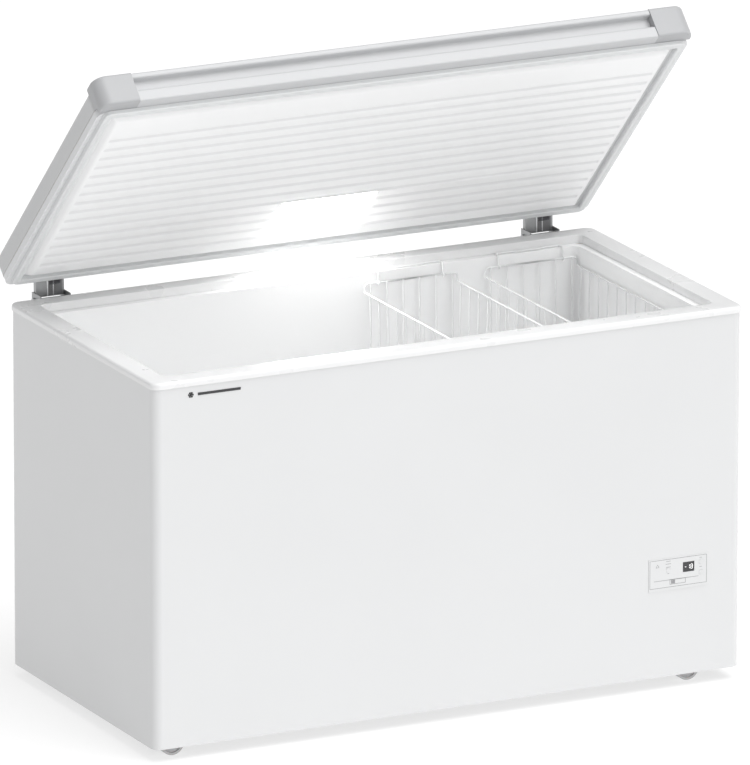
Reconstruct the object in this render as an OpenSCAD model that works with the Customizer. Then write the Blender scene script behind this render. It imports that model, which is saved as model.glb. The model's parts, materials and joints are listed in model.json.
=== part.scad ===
// Chest freezer with a hinged insulated lid, two hanging wire baskets and four rollers.
// Frame: X to the freezer's right, Y to its back, Z up, origin on the floor at the middle of the
// space that the freezer takes up with its lid standing open.

/* [Cabinet] */
// Width over the steel casing
cabinet_w = 1285; // [900:5:1700]
// Depth over the steel casing
cabinet_d = 657; // [520:1:900]
// Height of the steel casing, bottom edge to top edge
cabinet_h = 727; // [560:1:950]
// Gap between the floor and the casing's bottom edge
floor_gap = 26; // [20:1:34]
// Radius of the casing's upright corners
corner_r = 18; // [8:1:30]
// Thickness of the casing's steel sheet
sheet_t = 1; // [0.6:0.1:1.4]
// Thickness of the insulated walls and floor
wall_t = 60; // [50:1:90]
// Height of the hollow under the base pan
base_recess = 30; // [28:1:45]
// Thickness of the inner liner
liner_t = 1.2; // [0.8:0.1:2.5]

/* [Compressor bay] */
// Width of the compressor bay inside the casing
bay_w = 265; // [240:5:330]
// Height of the compressor bay above the base pan
bay_h = 245; // [232:5:320]
// Width of the ventilation grille
grille_w = 300; // [200:10:360]
// Height of the ventilation grille
grille_h = 150; // [110:5:180]

/* [Collar] */
// Height of the plastic collar above the casing
collar_rise = 14; // [10:0.5:24]
// How far the collar's rounded nose stands out past the casing
collar_nose = 2.5; // [1:0.5:6]
// Width of the collar's flat top
collar_top_w = 43; // [34:1:48]
// Depth of the step down to the basket ledge
ledge_drop = 17; // [14:0.5:26]
// Thickness of the collar's plastic
collar_t = 3; // [2:0.5:4]

/* [Lid] */
// Angle that the lid stands open, away from shut
lid_open = 45.6; // [20:0.1:78]
// Height of the lid over its gasket, frame and steel pan
lid_h = 66; // [54:1:90]
// Height of the gasket
gasket_h = 10; // [6:0.5:14]
// Width of the gasket
gasket_w = 16; // [10:1:20]
// Gap left under the gasket when the lid is shut
gasket_gap = 0.9; // [0.5:0.1:2]
// Height of the plastic frame between the gasket and the steel pan
frame_h = 14; // [10:1:20]
// How far the lid's sides stand out past the casing
lid_over = 3; // [0:0.5:8]
// Radius of the lid pan's corners
lid_corner_r = 22; // [12:1:32]
// Radius of the lid pan's top edge
lid_edge_r = 10; // [6:1:16]
// Number of grooves pressed across the inner panel
groove_count = 14; // [6:1:20]
// Distance from one groove to the next
groove_pitch = 32.9; // [24:0.1:38]

/* [Lid handle] */
// Height of the handle profile
handle_h = 64.6; // [56:0.2:80]
// Depth of the handle profile, front to back
handle_d = 27; // [24:0.5:40]
// Height of the finger channel in the handle
grip_h = 26; // [22:0.5:32]
// Depth of the finger channel in the handle
grip_d = 16; // [12:0.5:18]
// Length of each corner cap
cap_w = 81; // [60:1:120]

/* [Lamp] */
// Width of the lamp
lamp_w = 208; // [120:1:260]
// Depth of the lamp, front to back
lamp_d = 130; // [90:1:150]
// Height of the lamp housing inside the lid
lamp_h = 34; // [24:1:40]

/* [Hinges] */
// Distance from the casing's side to the middle of a hinge
hinge_inset = 101; // [70:1:160]
// Width of a hinge bracket
hinge_w = 66; // [50:1:80]
// Distance from the casing's back to the hinge pin
pin_back = 33; // [31:0.5:40]
// Radius of the hinge pin
pin_r = 4; // [3:0.5:6]
// Clearance all round between the hinge pin and its holes
pin_clear = 0.05; // [0.02:0.01:0.1]
// Thickness of the hinge plates
hinge_t = 2; // [1.5:0.5:3]
// Length of the bracket below the hinge pin
bracket_drop = 150; // [130:1:200]

/* [Baskets] */
// Width of a basket
basket_w = 210; // [160:1:240]
// Height of a basket below its top bar
basket_h = 215; // [140:1:260]
// Gap between the two baskets
basket_gap = 58; // [20:1:90]
// Thickness of the basket's rim wire
rim_wire = 4; // [3:0.5:6]
// Thickness of the basket's other wires
thin_wire = 3.2; // [2:0.2:4]
// Width of a basket handle
bail_w = 148; // [100:1:160]

/* [Controls] */
// Width of the control panel
panel_w = 131; // [110:1:160]
// Height of the control panel
panel_h = 66; // [56:1:80]
// Distance from the casing's right side to the middle of the panel
panel_inset = 140; // [90:1:150]
// Height of the panel's middle above the casing's bottom edge
panel_z = 211; // [150:1:220]
// Radius of a push key
key_r = 5; // [4:0.5:6]
// Travel of a push key
key_travel = 0.8; // [0.4:0.1:1.2]

/* [Rollers] */
// Radius of a roller
roller_r = 25; // [21:0.5:28]
// Width of a roller
roller_w = 18; // [12:1:24]
// Radius of a roller's axle
axle_r = 4; // [3:0.5:5]
// Distance from the casing's left side to the left rollers
roller_left = 56; // [50:1:120]
// Distance from the casing's right side to the right rollers
roller_right = 98; // [50:1:120]
// Distance from the casing's front and back to the rollers
roller_end = 45; // [40:1:80]

/* [Hidden] */
$fn = 48;

// Small gap between pieces that only touch
fit = 0.3;
// Overlap that lets a cutter pass through a face
eps = 1;

// ---- Cabinet heights and half sizes ----
half_w = cabinet_w / 2;
half_d = cabinet_d / 2;
casing_z = floor_gap;
casing_top = casing_z + cabinet_h;
pan_z = casing_z + base_recess;
floor_z = pan_z + sheet_t + wall_t;
collar_top = casing_top + collar_rise;
ledge_z = collar_top - ledge_drop;
inner_w = cabinet_w - 2 * wall_t;
inner_d = cabinet_d - 2 * wall_t;
inner_r = 14;
hem_w = 12;

// ---- Compressor bay ----
bay_x = half_w - sheet_t - bay_w;
bay_top = pan_z + bay_h;
partition_t = 2;
step_x = bay_x - wall_t;
step_z = bay_top + wall_t;

// ---- Lid, in its own frame: origin on the gasket's rear lower edge, front towards -Y ----
pin_y = half_d + pin_back;
pin_z = casing_top;
gasket_rear = half_d - 12.5;
gasket_z = collar_top + gasket_gap;
lid_half_w = half_w + lid_over;
lid_back = half_d - gasket_rear;
lid_len = 2 * gasket_rear - 2.3;
frame_z = gasket_h;
pan_low = frame_z + frame_h;
seal_half_w = half_w - 9.5;
plug_gap = 6;
plug_slope = 12;
plug_t = 2.2;
plug_half_w = seal_half_w - gasket_w - plug_gap;
plug_rear = gasket_w + plug_gap;
plug_front = 2 * gasket_rear - gasket_w - plug_gap;
handle_back = lid_len + fit;
cap_proud = 2;
lamp_rear = 62;
groove_first = 133;
groove_w = 4;
groove_depth = 1.2;

// ---- Hinges ----
hinge_x = half_w - hinge_inset;
ear_rear = pin_y + 11;
leaf_w = hinge_w - 2 * hinge_t - 1;
toe_y = -18;
toe_z = -14;
toe_r = 4;
cup_gap = 1.2;
cup_r = 9;
cup_h = 16;
spring_r = 7;
spring_wire = 1.1;
spring_turns = 9;
seat_z = pin_z - bracket_drop + 12;

// ---- Where the toe on the leaf stands while the lid is open ----
toe_open_z = pin_z - toe_y * sin(lid_open) + toe_z * cos(lid_open);
cup_top = toe_open_z - toe_r - cup_gap;
spring_y = pin_y + toe_y - 2;

// ---- Baskets ----
rim_r = rim_wire / 2;
wire_r = thin_wire / 2;
basket_clear = 6.5;
basket_d = inner_d - 2 * basket_clear;
basket_bar_z = ledge_z - 20;
basket_side_z = basket_bar_z - 18;
basket_x2 = half_w - wall_t - basket_clear / 2 - basket_w / 2;
basket_x1 = basket_x2 - basket_w - basket_gap;

// ---- Controls ----
panel_x = half_w - panel_inset;
panel_mid = casing_z + panel_z;
fascia_proud = 1.2;
display_x = 23;
display_z = 10;
display_w = 25;
display_h = 20;
key_x = 51;
key_up_z = 17;
key_down_z = -5;
power_x = -22;
power_z = 8;

// ---- The frame's origin: middle of the box round the open freezer, on the floor ----
front_y = -half_d - collar_nose;
top_back = [gasket_rear + lid_back - lid_edge_r - pin_y, gasket_z + lid_h - lid_edge_r - pin_z];
rear_y = pin_y + top_back[0] * cos(lid_open) + top_back[1] * sin(lid_open) + lid_edge_r;
shift_y = -(front_y + rear_y) / 2;

// ---- Details ----
rear_panel_w = cabinet_w - 2 * corner_r - 8;
grille_lip = 8;
grille_t = 1.8;
grille_z = pan_z + 118;
panel_lip = 4;
panel_rim = panel_lip + 3;
screw_hole_r = 1.6;
inlet_x = half_w - 90;
inlet_z = pan_z + 60;
inlet_r = 9;
drain_x = -half_w + 150;
drain_y = -half_d + 150;
drain_r = 9;
coil_r = 3;
coil_clear = 0.4;
coil_runs = 6;
coil_pitch = 64;
condenser_bend = 40;
evaporator_bend = inner_r + liner_t + coil_r + fit;
coil_end = 60;
condenser_w = cabinet_w - 2 * (sheet_t + coil_r + fit);
condenser_d = cabinet_d - 2 * (sheet_t + coil_r + fit);
condenser_z = step_z - 10;
evaporator_w = inner_w + 2 * (liner_t + coil_r + fit);
evaporator_d = inner_d + 2 * (liner_t + coil_r + fit);
evaporator_z = step_z + 14;
comp_x = bay_x + bay_w / 2;
comp_y = 90;
comp_r = 72;
comp_foot = 62;
grommet_h = 14;
bolt_r = 3;
comp_z = pan_z + grommet_h;
plate_t = 3;
plate_lap = 6;
plate_side = 50;
plate_end = 60;
drier_h = 90;
drier_r = 11;
relay_w = 50;
relay_d = 27;
relay_h = 52;
key_places = [[power_x, power_z], [key_x, key_up_z], [key_x, key_down_z]];
roller_places = [[-half_w + roller_left, -half_d + roller_end], [half_w - roller_right, -half_d + roller_end],
    [-half_w + roller_left, half_d - roller_end], [half_w - roller_right, half_d - roller_end]];
fork_gap = 1;
fork_t = 2.5;
hub_clear = 0.08;
screw_rows = [pin_z - bracket_drop + 5, pin_z - 34];
half_handle = lid_half_w - cap_w;
corner_gap = 0.5;
weld = 0.3;

// ================= Shared shapes =================

// Rectangle with round corners, true arcs
module rounded_rect(w, d, r) {
    square([w - 2 * r, d], center = true);
    square([w, d - 2 * r], center = true);
    for (sx = [-1, 1], sy = [-1, 1])
        translate([sx * (w / 2 - r), sy * (d / 2 - r)]) circle(r);
}

// Upright slab with round corners
module slab(w, d, r, z, h) {
    translate([0, 0, z]) linear_extrude(h) rounded_rect(w, d, r);
}

// Ring between two rounded rectangles, t wide
module ring(w, d, r, t, z, h) {
    translate([0, 0, z]) linear_extrude(h) difference() {
        rounded_rect(w, d, r);
        rounded_rect(w - 2 * t, d - 2 * t, max(r - t, 2));
    }
}

// Box from its lowest to its highest corner
module block(low, high) {
    translate(low) cube(high - low);
}

// Profile (x = outwards from the corner arc's centre, y = up) swept round a rounded rectangle
module rim_sweep(w, d, r) {
    for (sx = [-1, 1]) for (sy = [-1, 1])
        translate([sx * (w / 2 - r), sy * (d / 2 - r), 0]) scale_turn(sx, sy)
            rotate_extrude(angle = 90) children();
    for (s = [0, 180]) {
        rotate([0, 0, s]) translate([w / 2 - r, d / 2 - r, 0]) rotate([90, 0, 0])
            linear_extrude(d - 2 * r) children();
        rotate([0, 0, s + 90]) translate([d / 2 - r, w / 2 - r, 0]) rotate([90, 0, 0])
            linear_extrude(w - 2 * r) children();
    }
}

// Turns the first quadrant into the quadrant with signs sx and sy
module scale_turn(sx, sy) {
    turn = sx > 0 ? (sy > 0 ? 0 : 270) : (sy > 0 ? 90 : 180);
    rotate([0, 0, turn]) children();
}

// Round bar along X, Y or Z that starts at a point
module bar_x(p, l, r) { translate(p) rotate([0, 90, 0]) cylinder(h = l, r = r); }
module bar_y(p, l, r) { translate(p) rotate([-90, 0, 0]) cylinder(h = l, r = r); }
module bar_z(p, l, r) { translate(p) cylinder(h = l, r = r); }

// Puts lid pieces in place with the lid standing open
module on_lid() {
    translate([0, pin_y, pin_z]) rotate([-lid_open, 0, 0])
        translate([0, gasket_rear - pin_y, gasket_z - pin_z]) children();
}

// Moves the whole freezer so that the frame's origin is at the middle of its box
module in_frame() {
    translate([0, shift_y, 0]) children();
}

// ================= Cabinet =================

// Steel wrap: front and both sides, turned in at the bottom and at the back
module outer_casing() {
    color("white") in_frame() difference() {
        union() {
            ring(cabinet_w, cabinet_d, corner_r, sheet_t, casing_z, cabinet_h);
            ring(cabinet_w - 2 * fit, cabinet_d - 2 * fit, corner_r - fit, hem_w, casing_z, sheet_t);
        }
        block([-rear_panel_w / 2 - fit, half_d - hem_w - eps, casing_z - eps],
            [rear_panel_w / 2 + fit, half_d + eps, casing_top + eps]);
        block([half_w - hem_w, -grille_w / 2 + grille_lip, grille_z - grille_h / 2 + grille_lip],
            [half_w + eps, grille_w / 2 - grille_lip, grille_z + grille_h / 2 - grille_lip]);
        block([panel_x - panel_w / 2 + panel_lip, -half_d - eps, panel_mid - panel_h / 2 + panel_lip],
            [panel_x + panel_w / 2 - panel_lip, -half_d + hem_w, panel_mid + panel_h / 2 - panel_lip]);
        each_grille_screw() bar_x([-hem_w / 2, 0, 0], hem_w, screw_hole_r);
    }
}

// Flat steel back with the cable gland's hole
module rear_panel() {
    color("gainsboro") in_frame() difference() {
        block([-rear_panel_w / 2, half_d - sheet_t, casing_z], [rear_panel_w / 2, half_d, casing_top]);
        bar_y([inlet_x, half_d - hem_w, inlet_z], 2 * hem_w, inlet_r);
    }
}

// Galvanised floor of the cabinet, over the hollow that the rollers stand in
module base_pan() {
    color("silver") in_frame() difference() {
        slab(cabinet_w - 2 * (sheet_t + fit), cabinet_d - 2 * (sheet_t + fit), corner_r - sheet_t,
            pan_z, sheet_t);
        block([bay_x + plate_lap, -half_d + plate_end + plate_lap, pan_z - eps],
            [half_w - plate_side - plate_lap, half_d - plate_end - plate_lap, pan_z + sheet_t + eps]);
        bar_z([drain_x, drain_y, pan_z - eps], 2 * eps + sheet_t, drain_r + 2);
    }
}

// Foam between casing and liner, with channels for the two pipe coils
module cabinet_foam() {
    top = casing_top + collar_rise - collar_t - fit;
    color("khaki") in_frame() difference() {
        union() {
            slab(cabinet_w - 2 * (sheet_t + fit), cabinet_d - 2 * (sheet_t + fit),
                corner_r - sheet_t, pan_z + sheet_t + fit, casing_top - pan_z - sheet_t - 2 * fit);
            slab(cabinet_w - 2 * (collar_t + 2), cabinet_d - 2 * (collar_t + 2), corner_r - collar_t,
                casing_top - eps, top - casing_top + eps);
        }
        slab(cabinet_w - 2 * (collar_top_w - collar_t - fit), cabinet_d - 2 * (collar_top_w - collar_t - fit),
            inner_r, ledge_z - liner_t - fit, cabinet_h);
        liner_shape(liner_t + fit, cabinet_h);
        block([bay_x - partition_t - fit, -cabinet_d, casing_z],
            [cabinet_w, cabinet_d, bay_top + partition_t + fit]);
        coil_room(condenser_w, condenser_d, condenser_z, condenser_bend);
        coil_room(evaporator_w, evaporator_d, evaporator_z, evaporator_bend);
        bar_z([drain_x, drain_y, pan_z - eps], wall_t + 4 * eps, drain_r + fit);
    }
}

// Square channel for one run of a coil, open where the return bends stand
module coil_channel(w, d, z, bend) {
    half = coil_r + coil_clear;
    intersection() {
        ring(w + 2 * half, d + 2 * half, bend + half, 2 * half, z - half, 2 * half);
        block([-w, -d, z - half - eps], [w, d / 2 - coil_end + eps, z + half + eps]);
    }
}

// Upright slots for the return bends on both sides
module coil_slots(w, d, z) {
    half = coil_r + coil_clear;
    for (s = [-1, 1])
        block([s * w / 2 - half, d / 2 - coil_end, z - half],
            [s * w / 2 + half, d / 2 - coil_end + coil_pitch / 2 + half,
                z + (coil_runs - 1) * coil_pitch + half]);
}

// Channels and slots for a whole coil
module coil_room(w, d, z, bend) {
    for (i = [0 : coil_runs - 1]) coil_channel(w, d, z + i * coil_pitch, bend);
    coil_slots(w, d, z);
}

// One open run of pipe round the front and both sides; its ends stand near the back
module coil_run(w, d, z, r) {
    end_y = d / 2 - coil_end;
    for (s = [-1, 1]) {
        bar_y([s * w / 2, -d / 2 + r, z], end_y + d / 2 - r, coil_r);
        translate([s * (w / 2 - r), -d / 2 + r, z]) rotate([0, 0, s > 0 ? 270 : 180])
            rotate_extrude(angle = 90) translate([r, 0]) circle(coil_r);
    }
    bar_x([-w / 2 + r, -d / 2, z], w - 2 * r, coil_r);
}

// Return bend between one run and the next, on side s
module coil_return(w, d, z, s) {
    translate([s * w / 2, d / 2 - coil_end, z + coil_pitch / 2]) rotate([0, -90, 0])
        rotate_extrude(angle = 180) translate([coil_pitch / 2, 0]) circle(coil_r);
}

// Serpentine of open runs joined by return bends at alternate sides
module coil(w, d, z, bend) {
    for (i = [0 : coil_runs - 1]) coil_run(w, d, z + i * coil_pitch, bend);
    for (i = [0 : coil_runs - 2]) coil_return(w, d, z + i * coil_pitch, i % 2 == 0 ? -1 : 1);
}

// Hot pipe on the inside of the steel casing
module condenser_tube() {
    color("peru") in_frame() coil(condenser_w, condenser_d, condenser_z, condenser_bend);
}

// Cold pipe on the outside of the liner
module evaporator_tube() {
    color("silver") in_frame() coil(evaporator_w, evaporator_d, evaporator_z, evaporator_bend);
}

// Room inside the liner, grown by g: a tall part and the part over the compressor step
module liner_shape(g, h) {
    difference() {
        slab(inner_w + 2 * g, inner_d + 2 * g, inner_r + g, floor_z - g, h);
        block([step_x + g, -cabinet_d, floor_z - 2 * g - eps], [cabinet_w, cabinet_d, step_z - g]);
    }
}

// Painted liner with a step over the compressor, a drain hole and a flange under the collar's lip
module inner_liner() {
    flange = wall_t - collar_top_w + collar_t;
    color("whitesmoke") in_frame() difference() {
        union() {
            intersection() {
                liner_shape(liner_t, cabinet_h);
                block([-cabinet_w, -cabinet_d, 0], [cabinet_w, cabinet_d, ledge_z]);
            }
            slab(inner_w + 2 * flange, inner_d + 2 * flange, inner_r + flange, ledge_z - liner_t, liner_t);
        }
        liner_shape(0, cabinet_h);
        bar_z([drain_x, drain_y, floor_z - wall_t / 2], wall_t, drain_r);
    }
}

// Plastic collar: round nose, flat top and an inner lip that stands on the liner's flange
module top_collar() {
    nose_w = cabinet_w + 2 * collar_nose;
    nose_d = cabinet_d + 2 * collar_nose;
    nose_r = corner_r + collar_nose;
    round_r = 6;
    opening_w = cabinet_w - 2 * collar_top_w;
    opening_d = cabinet_d - 2 * collar_top_w;
    color("white") in_frame() {
        rim_sweep(nose_w, nose_d, nose_r) {
            translate([nose_r - round_r, collar_top - round_r]) intersection() {
                circle(round_r);
                square(round_r);
            }
            translate([nose_r - round_r, casing_top + fit]) square([round_r, collar_rise - round_r - fit]);
        }
        difference() {
            slab(nose_w - 2 * round_r, nose_d - 2 * round_r, nose_r - round_r, collar_top - collar_t,
                collar_t);
            slab(opening_w, opening_d, inner_r, collar_top - 2 * collar_t, 3 * collar_t);
        }
        ring(nose_w - 2 * round_r, nose_d - 2 * round_r, nose_r - round_r, 1, casing_top + fit,
            collar_rise - 2);
        ring(opening_w + 2 * collar_t, opening_d + 2 * collar_t, inner_r + collar_t, collar_t,
            ledge_z + fit, ledge_drop - fit - collar_t + eps);
    }
}

// ================= Compressor bay =================

// Plastic wall and roof between the bay and the foam
module bay_partition() {
    y_in = half_d - sheet_t - 2 * fit;
    color("dimgray") in_frame() intersection() {
        union() {
            block([bay_x - partition_t, -y_in, pan_z + sheet_t + fit], [bay_x, y_in, bay_top + partition_t]);
            block([bay_x, -y_in, bay_top], [half_w, y_in, bay_top + partition_t]);
        }
        slab(cabinet_w - 2 * (sheet_t + fit), cabinet_d - 2 * (sheet_t + fit), corner_r - sheet_t,
            pan_z, cabinet_h);
    }
}

// Steel plate across the bay's floor that carries the compressor
module compressor_plate() {
    color("silver") in_frame() difference() {
        block([bay_x + fit, -half_d + plate_end, pan_z - plate_t],
            [half_w - plate_side, half_d - plate_end, pan_z]);
        each_compressor_foot() cylinder(h = 4 * plate_t, r = bolt_r + 1, center = true);
    }
}

// Copies a piece to the compressor's four feet
module each_compressor_foot() {
    for (sx = [-1, 1], sy = [-1, 1])
        translate([comp_x + sx * comp_foot, comp_y + sy * comp_foot, pan_z]) children();
}

// Welded steel pot with its foot plate and pipe stubs
module compressor() {
    color("dimgray") in_frame() difference() {
        union() {
            translate([comp_x - comp_foot - 14, comp_y - comp_foot - 14, comp_z])
                cube([2 * comp_foot + 28, 2 * comp_foot + 28, 3]);
            translate([comp_x, comp_y, comp_z + 3]) {
                cylinder(h = 110, r = comp_r - 6);
                translate([0, 0, 52]) cylinder(h = 8, r = comp_r - 1);
                translate([0, 0, 110]) intersection() {
                    translate([0, 0, -90]) sphere(r = 110);
                    cylinder(h = 40, r = comp_r - 6);
                }
            }
            bar_y([comp_x - 24, comp_y + comp_r - 12, comp_z + 40], 26, 5);
        }
        each_compressor_foot() cylinder(h = 60, r = 7.5);
    }
}

// Rubber feet under the compressor, one at each bolt
module compressor_grommets() {
    color("black") in_frame() each_compressor_foot() difference() {
        union() {
            cylinder(h = grommet_h - fit, r = 12);
            cylinder(h = grommet_h + 8, r = 7.2);
            translate([0, 0, grommet_h + 3 + fit]) cylinder(h = 5 - fit, r = 11);
        }
        translate([0, 0, -eps]) cylinder(h = 60, r = 3.5);
    }
}

// Bolts through the rubber feet
module compressor_bolts() {
    color("silver") in_frame() each_compressor_foot() {
        translate([0, 0, -8]) cylinder(h = grommet_h + 18, r = bolt_r);
        translate([0, 0, grommet_h + 8 + fit]) cylinder(h = 5, r = 6, $fn = 6);
        translate([0, 0, -8]) cylinder(h = 4.5, r = 6, $fn = 6);
    }
}

// Start relay's cover on the compressor's side
module relay_cover() {
    color("black") in_frame()
        translate([comp_x - relay_w / 2, comp_y - comp_r + 1 - fit - relay_d, comp_z + 30])
            cube([relay_w, relay_d, relay_h]);
}

// Copper drier on the pipe from the condenser
module filter_drier() {
    cone = 10;
    pipe_r = 3;
    color("peru") in_frame() translate([bay_x + 30, comp_y - 60, pan_z + drier_h]) {
        cylinder(h = drier_h, r = drier_r);
        translate([0, 0, drier_h]) cylinder(h = cone, r1 = drier_r, r2 = pipe_r);
        translate([0, 0, -cone]) cylinder(h = cone, r1 = pipe_r, r2 = drier_r);
        translate([0, 0, -2 * cone]) cylinder(h = cone + eps, r = pipe_r);
        translate([0, 0, drier_h + cone - eps])
            cylinder(h = bay_top - fit - pan_z - 2 * drier_h - cone + eps, r = pipe_r - eps);
    }
}

// Suction pipe that rises from the compressor and turns towards the foam
module suction_pipe() {
    px = comp_x - 24;
    py = comp_y + comp_r + 30;
    pz = comp_z + 40;
    bend = 14;
    rise = bay_top - 40 - pz - 2 * bend;
    color("peru") in_frame() {
        bar_y([px, comp_y + comp_r + 14 + fit, pz], py - comp_y - comp_r - 14 - fit, 4);
        translate([px, py, pz + bend]) rotate([0, 90, 0]) rotate_extrude(angle = 90)
            translate([bend, 0]) circle(4);
        bar_z([px, py + bend, pz + bend], rise, 4);
        translate([px - bend, py + bend, pz + bend + rise]) rotate([90, 0, 0])
            rotate_extrude(angle = 90) translate([bend, 0]) circle(4);
        bar_x([bay_x + fit, py + bend, pz + 2 * bend + rise], px - bend - bay_x - fit, 4);
    }
}

// Slotted grille over the bay's opening in the right side
module ventilation_grille() {
    slots = 9;
    slot_pitch = (grille_h - 30) / slots;
    color("gainsboro") in_frame() difference() {
        translate([half_w, 0, grille_z]) difference() {
            union() {
                block([fit, -grille_w / 2, -grille_h / 2], [grille_t, grille_w / 2, grille_h / 2]);
                block([-6, -grille_w / 2 + grille_lip + fit, -grille_h / 2 + grille_lip + fit],
                    [fit, grille_w / 2 - grille_lip - fit, grille_h / 2 - grille_lip - fit]);
            }
            for (i = [0 : slots - 1], s = [-1, 1])
                translate([0, s * (grille_w / 4 - 6), (i - (slots - 1) / 2) * slot_pitch])
                    cube([40, grille_w / 2 - 26, 6], center = true);
        }
        each_grille_screw() bar_x([-hem_w / 2, 0, 0], hem_w, screw_hole_r);
    }
}

// Screws in the grille's corners
module grille_screws() {
    color("silver") in_frame() each_grille_screw() {
        bar_x([-5, 0, 0], 5 + grille_t, screw_hole_r - 0.4);
        bar_x([grille_t + 0.05, 0, 0], 0.8, 2 * screw_hole_r);
    }
}

// Copies a piece to the grille's four corner screws, on the casing's face
module each_grille_screw() {
    for (sy = [-1, 1], sz = [-1, 1])
        translate([half_w, sy * (grille_w - grille_lip) / 2, grille_z + sz * (grille_h - grille_lip) / 2])
            children();
}

// Gland where a mains lead enters the back
module power_inlet() {
    color("black") in_frame() difference() {
        union() {
            bar_y([inlet_x, half_d - 12, inlet_z], 12 + fit, inlet_r - fit);
            bar_y([inlet_x, half_d + fit, inlet_z], 8, inlet_r + 4);
        }
        bar_y([inlet_x, half_d - 20, inlet_z], 40, 4);
    }
}

// Plastic tube through the floor foam that lets melt water out
module drain_tube() {
    color("white") in_frame() difference() {
        bar_z([drain_x, drain_y, pan_z - 8], floor_z - liner_t - fit - pan_z + 8, drain_r);
        bar_z([drain_x, drain_y, pan_z - 10], wall_t + 20, drain_r - 2);
    }
}

// Plug in the liner's floor
module drain_plug() {
    color("white") in_frame() {
        bar_z([drain_x, drain_y, floor_z - 14], 14 + fit, drain_r - 2.3);
        bar_z([drain_x, drain_y, floor_z + fit], 3, drain_r + 6);
        translate([drain_x - 10, drain_y - 1.5, floor_z + 3]) cube([20, 3, 9]);
    }
}

// ================= Controls =================

// Plastic fascia with openings for the display and the keys
module control_fascia() {
    color("white") in_frame() translate([panel_x, -half_d, panel_mid]) difference() {
        union() {
            block([-panel_w / 2, -fascia_proud, -panel_h / 2], [panel_w / 2, -0.05, panel_h / 2]);
            block([-panel_w / 2 + panel_lip + fit, -0.05, -panel_h / 2 + panel_lip + fit],
                [panel_w / 2 - panel_lip - fit, 14, panel_h / 2 - panel_lip - fit]);
        }
        block([-panel_w / 2 + panel_rim, 2, -panel_h / 2 + panel_rim],
            [panel_w / 2 - panel_rim, 20, panel_h / 2 - panel_rim]);
        translate([display_x, 0, display_z])
            cube([display_w + 2 * fit, 20, display_h + 2 * fit], center = true);
        for (p = key_places) bar_y([p[0], -5, p[1]], 10, key_r + fit);
    }
}

// Dark window over the temperature digits
module display_window() {
    color("black") in_frame() translate([panel_x + display_x, -half_d, panel_mid + display_z])
        block([-display_w / 2, -fascia_proud, -display_h / 2], [display_w / 2, 6, display_h / 2]);
}

// Circuit board behind the fascia
module control_board() {
    color("green") in_frame() translate([panel_x, -half_d, panel_mid]) {
        block([-panel_w / 2 + panel_rim + fit, 9, -panel_h / 2 + panel_rim + fit],
            [panel_w / 2 - panel_rim - fit, 10.6, panel_h / 2 - panel_rim - fit]);
        for (p = key_places) bar_y([p[0], 6, p[1]], 4, 2.5);
    }
}

// Round key with a stem; it stands flush and goes in by its travel
module push_key(p) {
    color("gainsboro") in_frame() translate([panel_x + p[0], -half_d, panel_mid + p[1]]) {
        bar_y([0, -fascia_proud - 0.4, 0], fascia_proud + 3, key_r);
        bar_y([0, 1, 0], 5 - key_travel - 0.1, 2);
    }
}
module key_power() { push_key(key_places[0]); }
module key_up() { push_key(key_places[1]); }
module key_down() { push_key(key_places[2]); }

// Plain badge on the front's top left
module front_badge() {
    color("dimgray") in_frame() translate([-half_w + 130, -half_d, casing_top - 17])
        block([-57, -0.8, -6], [57, -0.05, 6]);
}

// ================= Rollers =================

// Steel forks that hold the axles under the base pan
module roller_brackets() {
    half = roller_w / 2 + fork_gap;
    color("silver") in_frame() for (p = roller_places) translate([p[0], p[1], 0]) difference() {
        union() {
            block([-22, -half - fork_t, pan_z - fork_t], [22, half + fork_t, pan_z - fit]);
            for (s = [-1, 1]) translate([0, s * (half + fork_t / 2), 0])
                block([-12, -fork_t / 2, roller_r - 9], [12, fork_t / 2, pan_z - fork_t / 2]);
        }
        bar_y([0, -half - 10, roller_r], 2 * half + 20, axle_r);
    }
}

// Axles pressed into the forks
module roller_axles() {
    half = roller_w / 2 + fork_gap + fork_t;
    color("dimgray") in_frame() for (p = roller_places)
        bar_y([p[0], p[1] - half, roller_r], 2 * half, axle_r);
}

// Plastic roller with a groove round its side faces
module roller(p) {
    color("gainsboro") in_frame() translate([p[0], p[1], roller_r]) rotate([90, 0, 0]) difference() {
        cylinder(h = roller_w, r = roller_r, center = true);
        cylinder(h = 2 * roller_w, r = axle_r + hub_clear, center = true);
        for (s = [-1, 1]) translate([0, 0, s * roller_w / 2]) difference() {
            cylinder(h = 5, r = roller_r - 5, center = true);
            cylinder(h = 6, r = roller_r - 13, center = true);
        }
    }
}
module roller_front_left() { roller(roller_places[0]); }
module roller_front_right() { roller(roller_places[1]); }
module roller_rear_left() { roller(roller_places[2]); }
module roller_rear_right() { roller(roller_places[3]); }

// ================= Hinges =================

// U channel on the back: two ears carry the pin, a shelf carries the spring
module hinge_bracket(s) {
    low = pin_z - bracket_drop;
    high = pin_z + 16;
    y_plate = half_d + fit;
    color("silver") in_frame() translate([s * hinge_x, 0, 0]) difference() {
        union() {
            block([-hinge_w / 2, y_plate, low], [hinge_w / 2, y_plate + hinge_t, casing_top - 4]);
            for (e = [-1, 1]) translate([e * (hinge_w / 2 - hinge_t / 2), 0, 0])
                block([-hinge_t / 2, y_plate, low], [hinge_t / 2, ear_rear, high]);
            block([-hinge_w / 2, y_plate, seat_z - hinge_t], [hinge_w / 2, ear_rear, seat_z]);
        }
        block([-hinge_w, half_d, casing_top], [hinge_w, half_d + collar_nose + fit, high + eps]);
        bar_x([-hinge_w, pin_y, pin_z], 2 * hinge_w, pin_r);
        for (z = screw_rows, e = [-1, 1]) bar_y([e * 20, half_d, z], 20, 2.6);
        translate([0, spring_y, seat_z - 2 * hinge_t]) cylinder(h = 4 * hinge_t, r = 2.2);
    }
}
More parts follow.
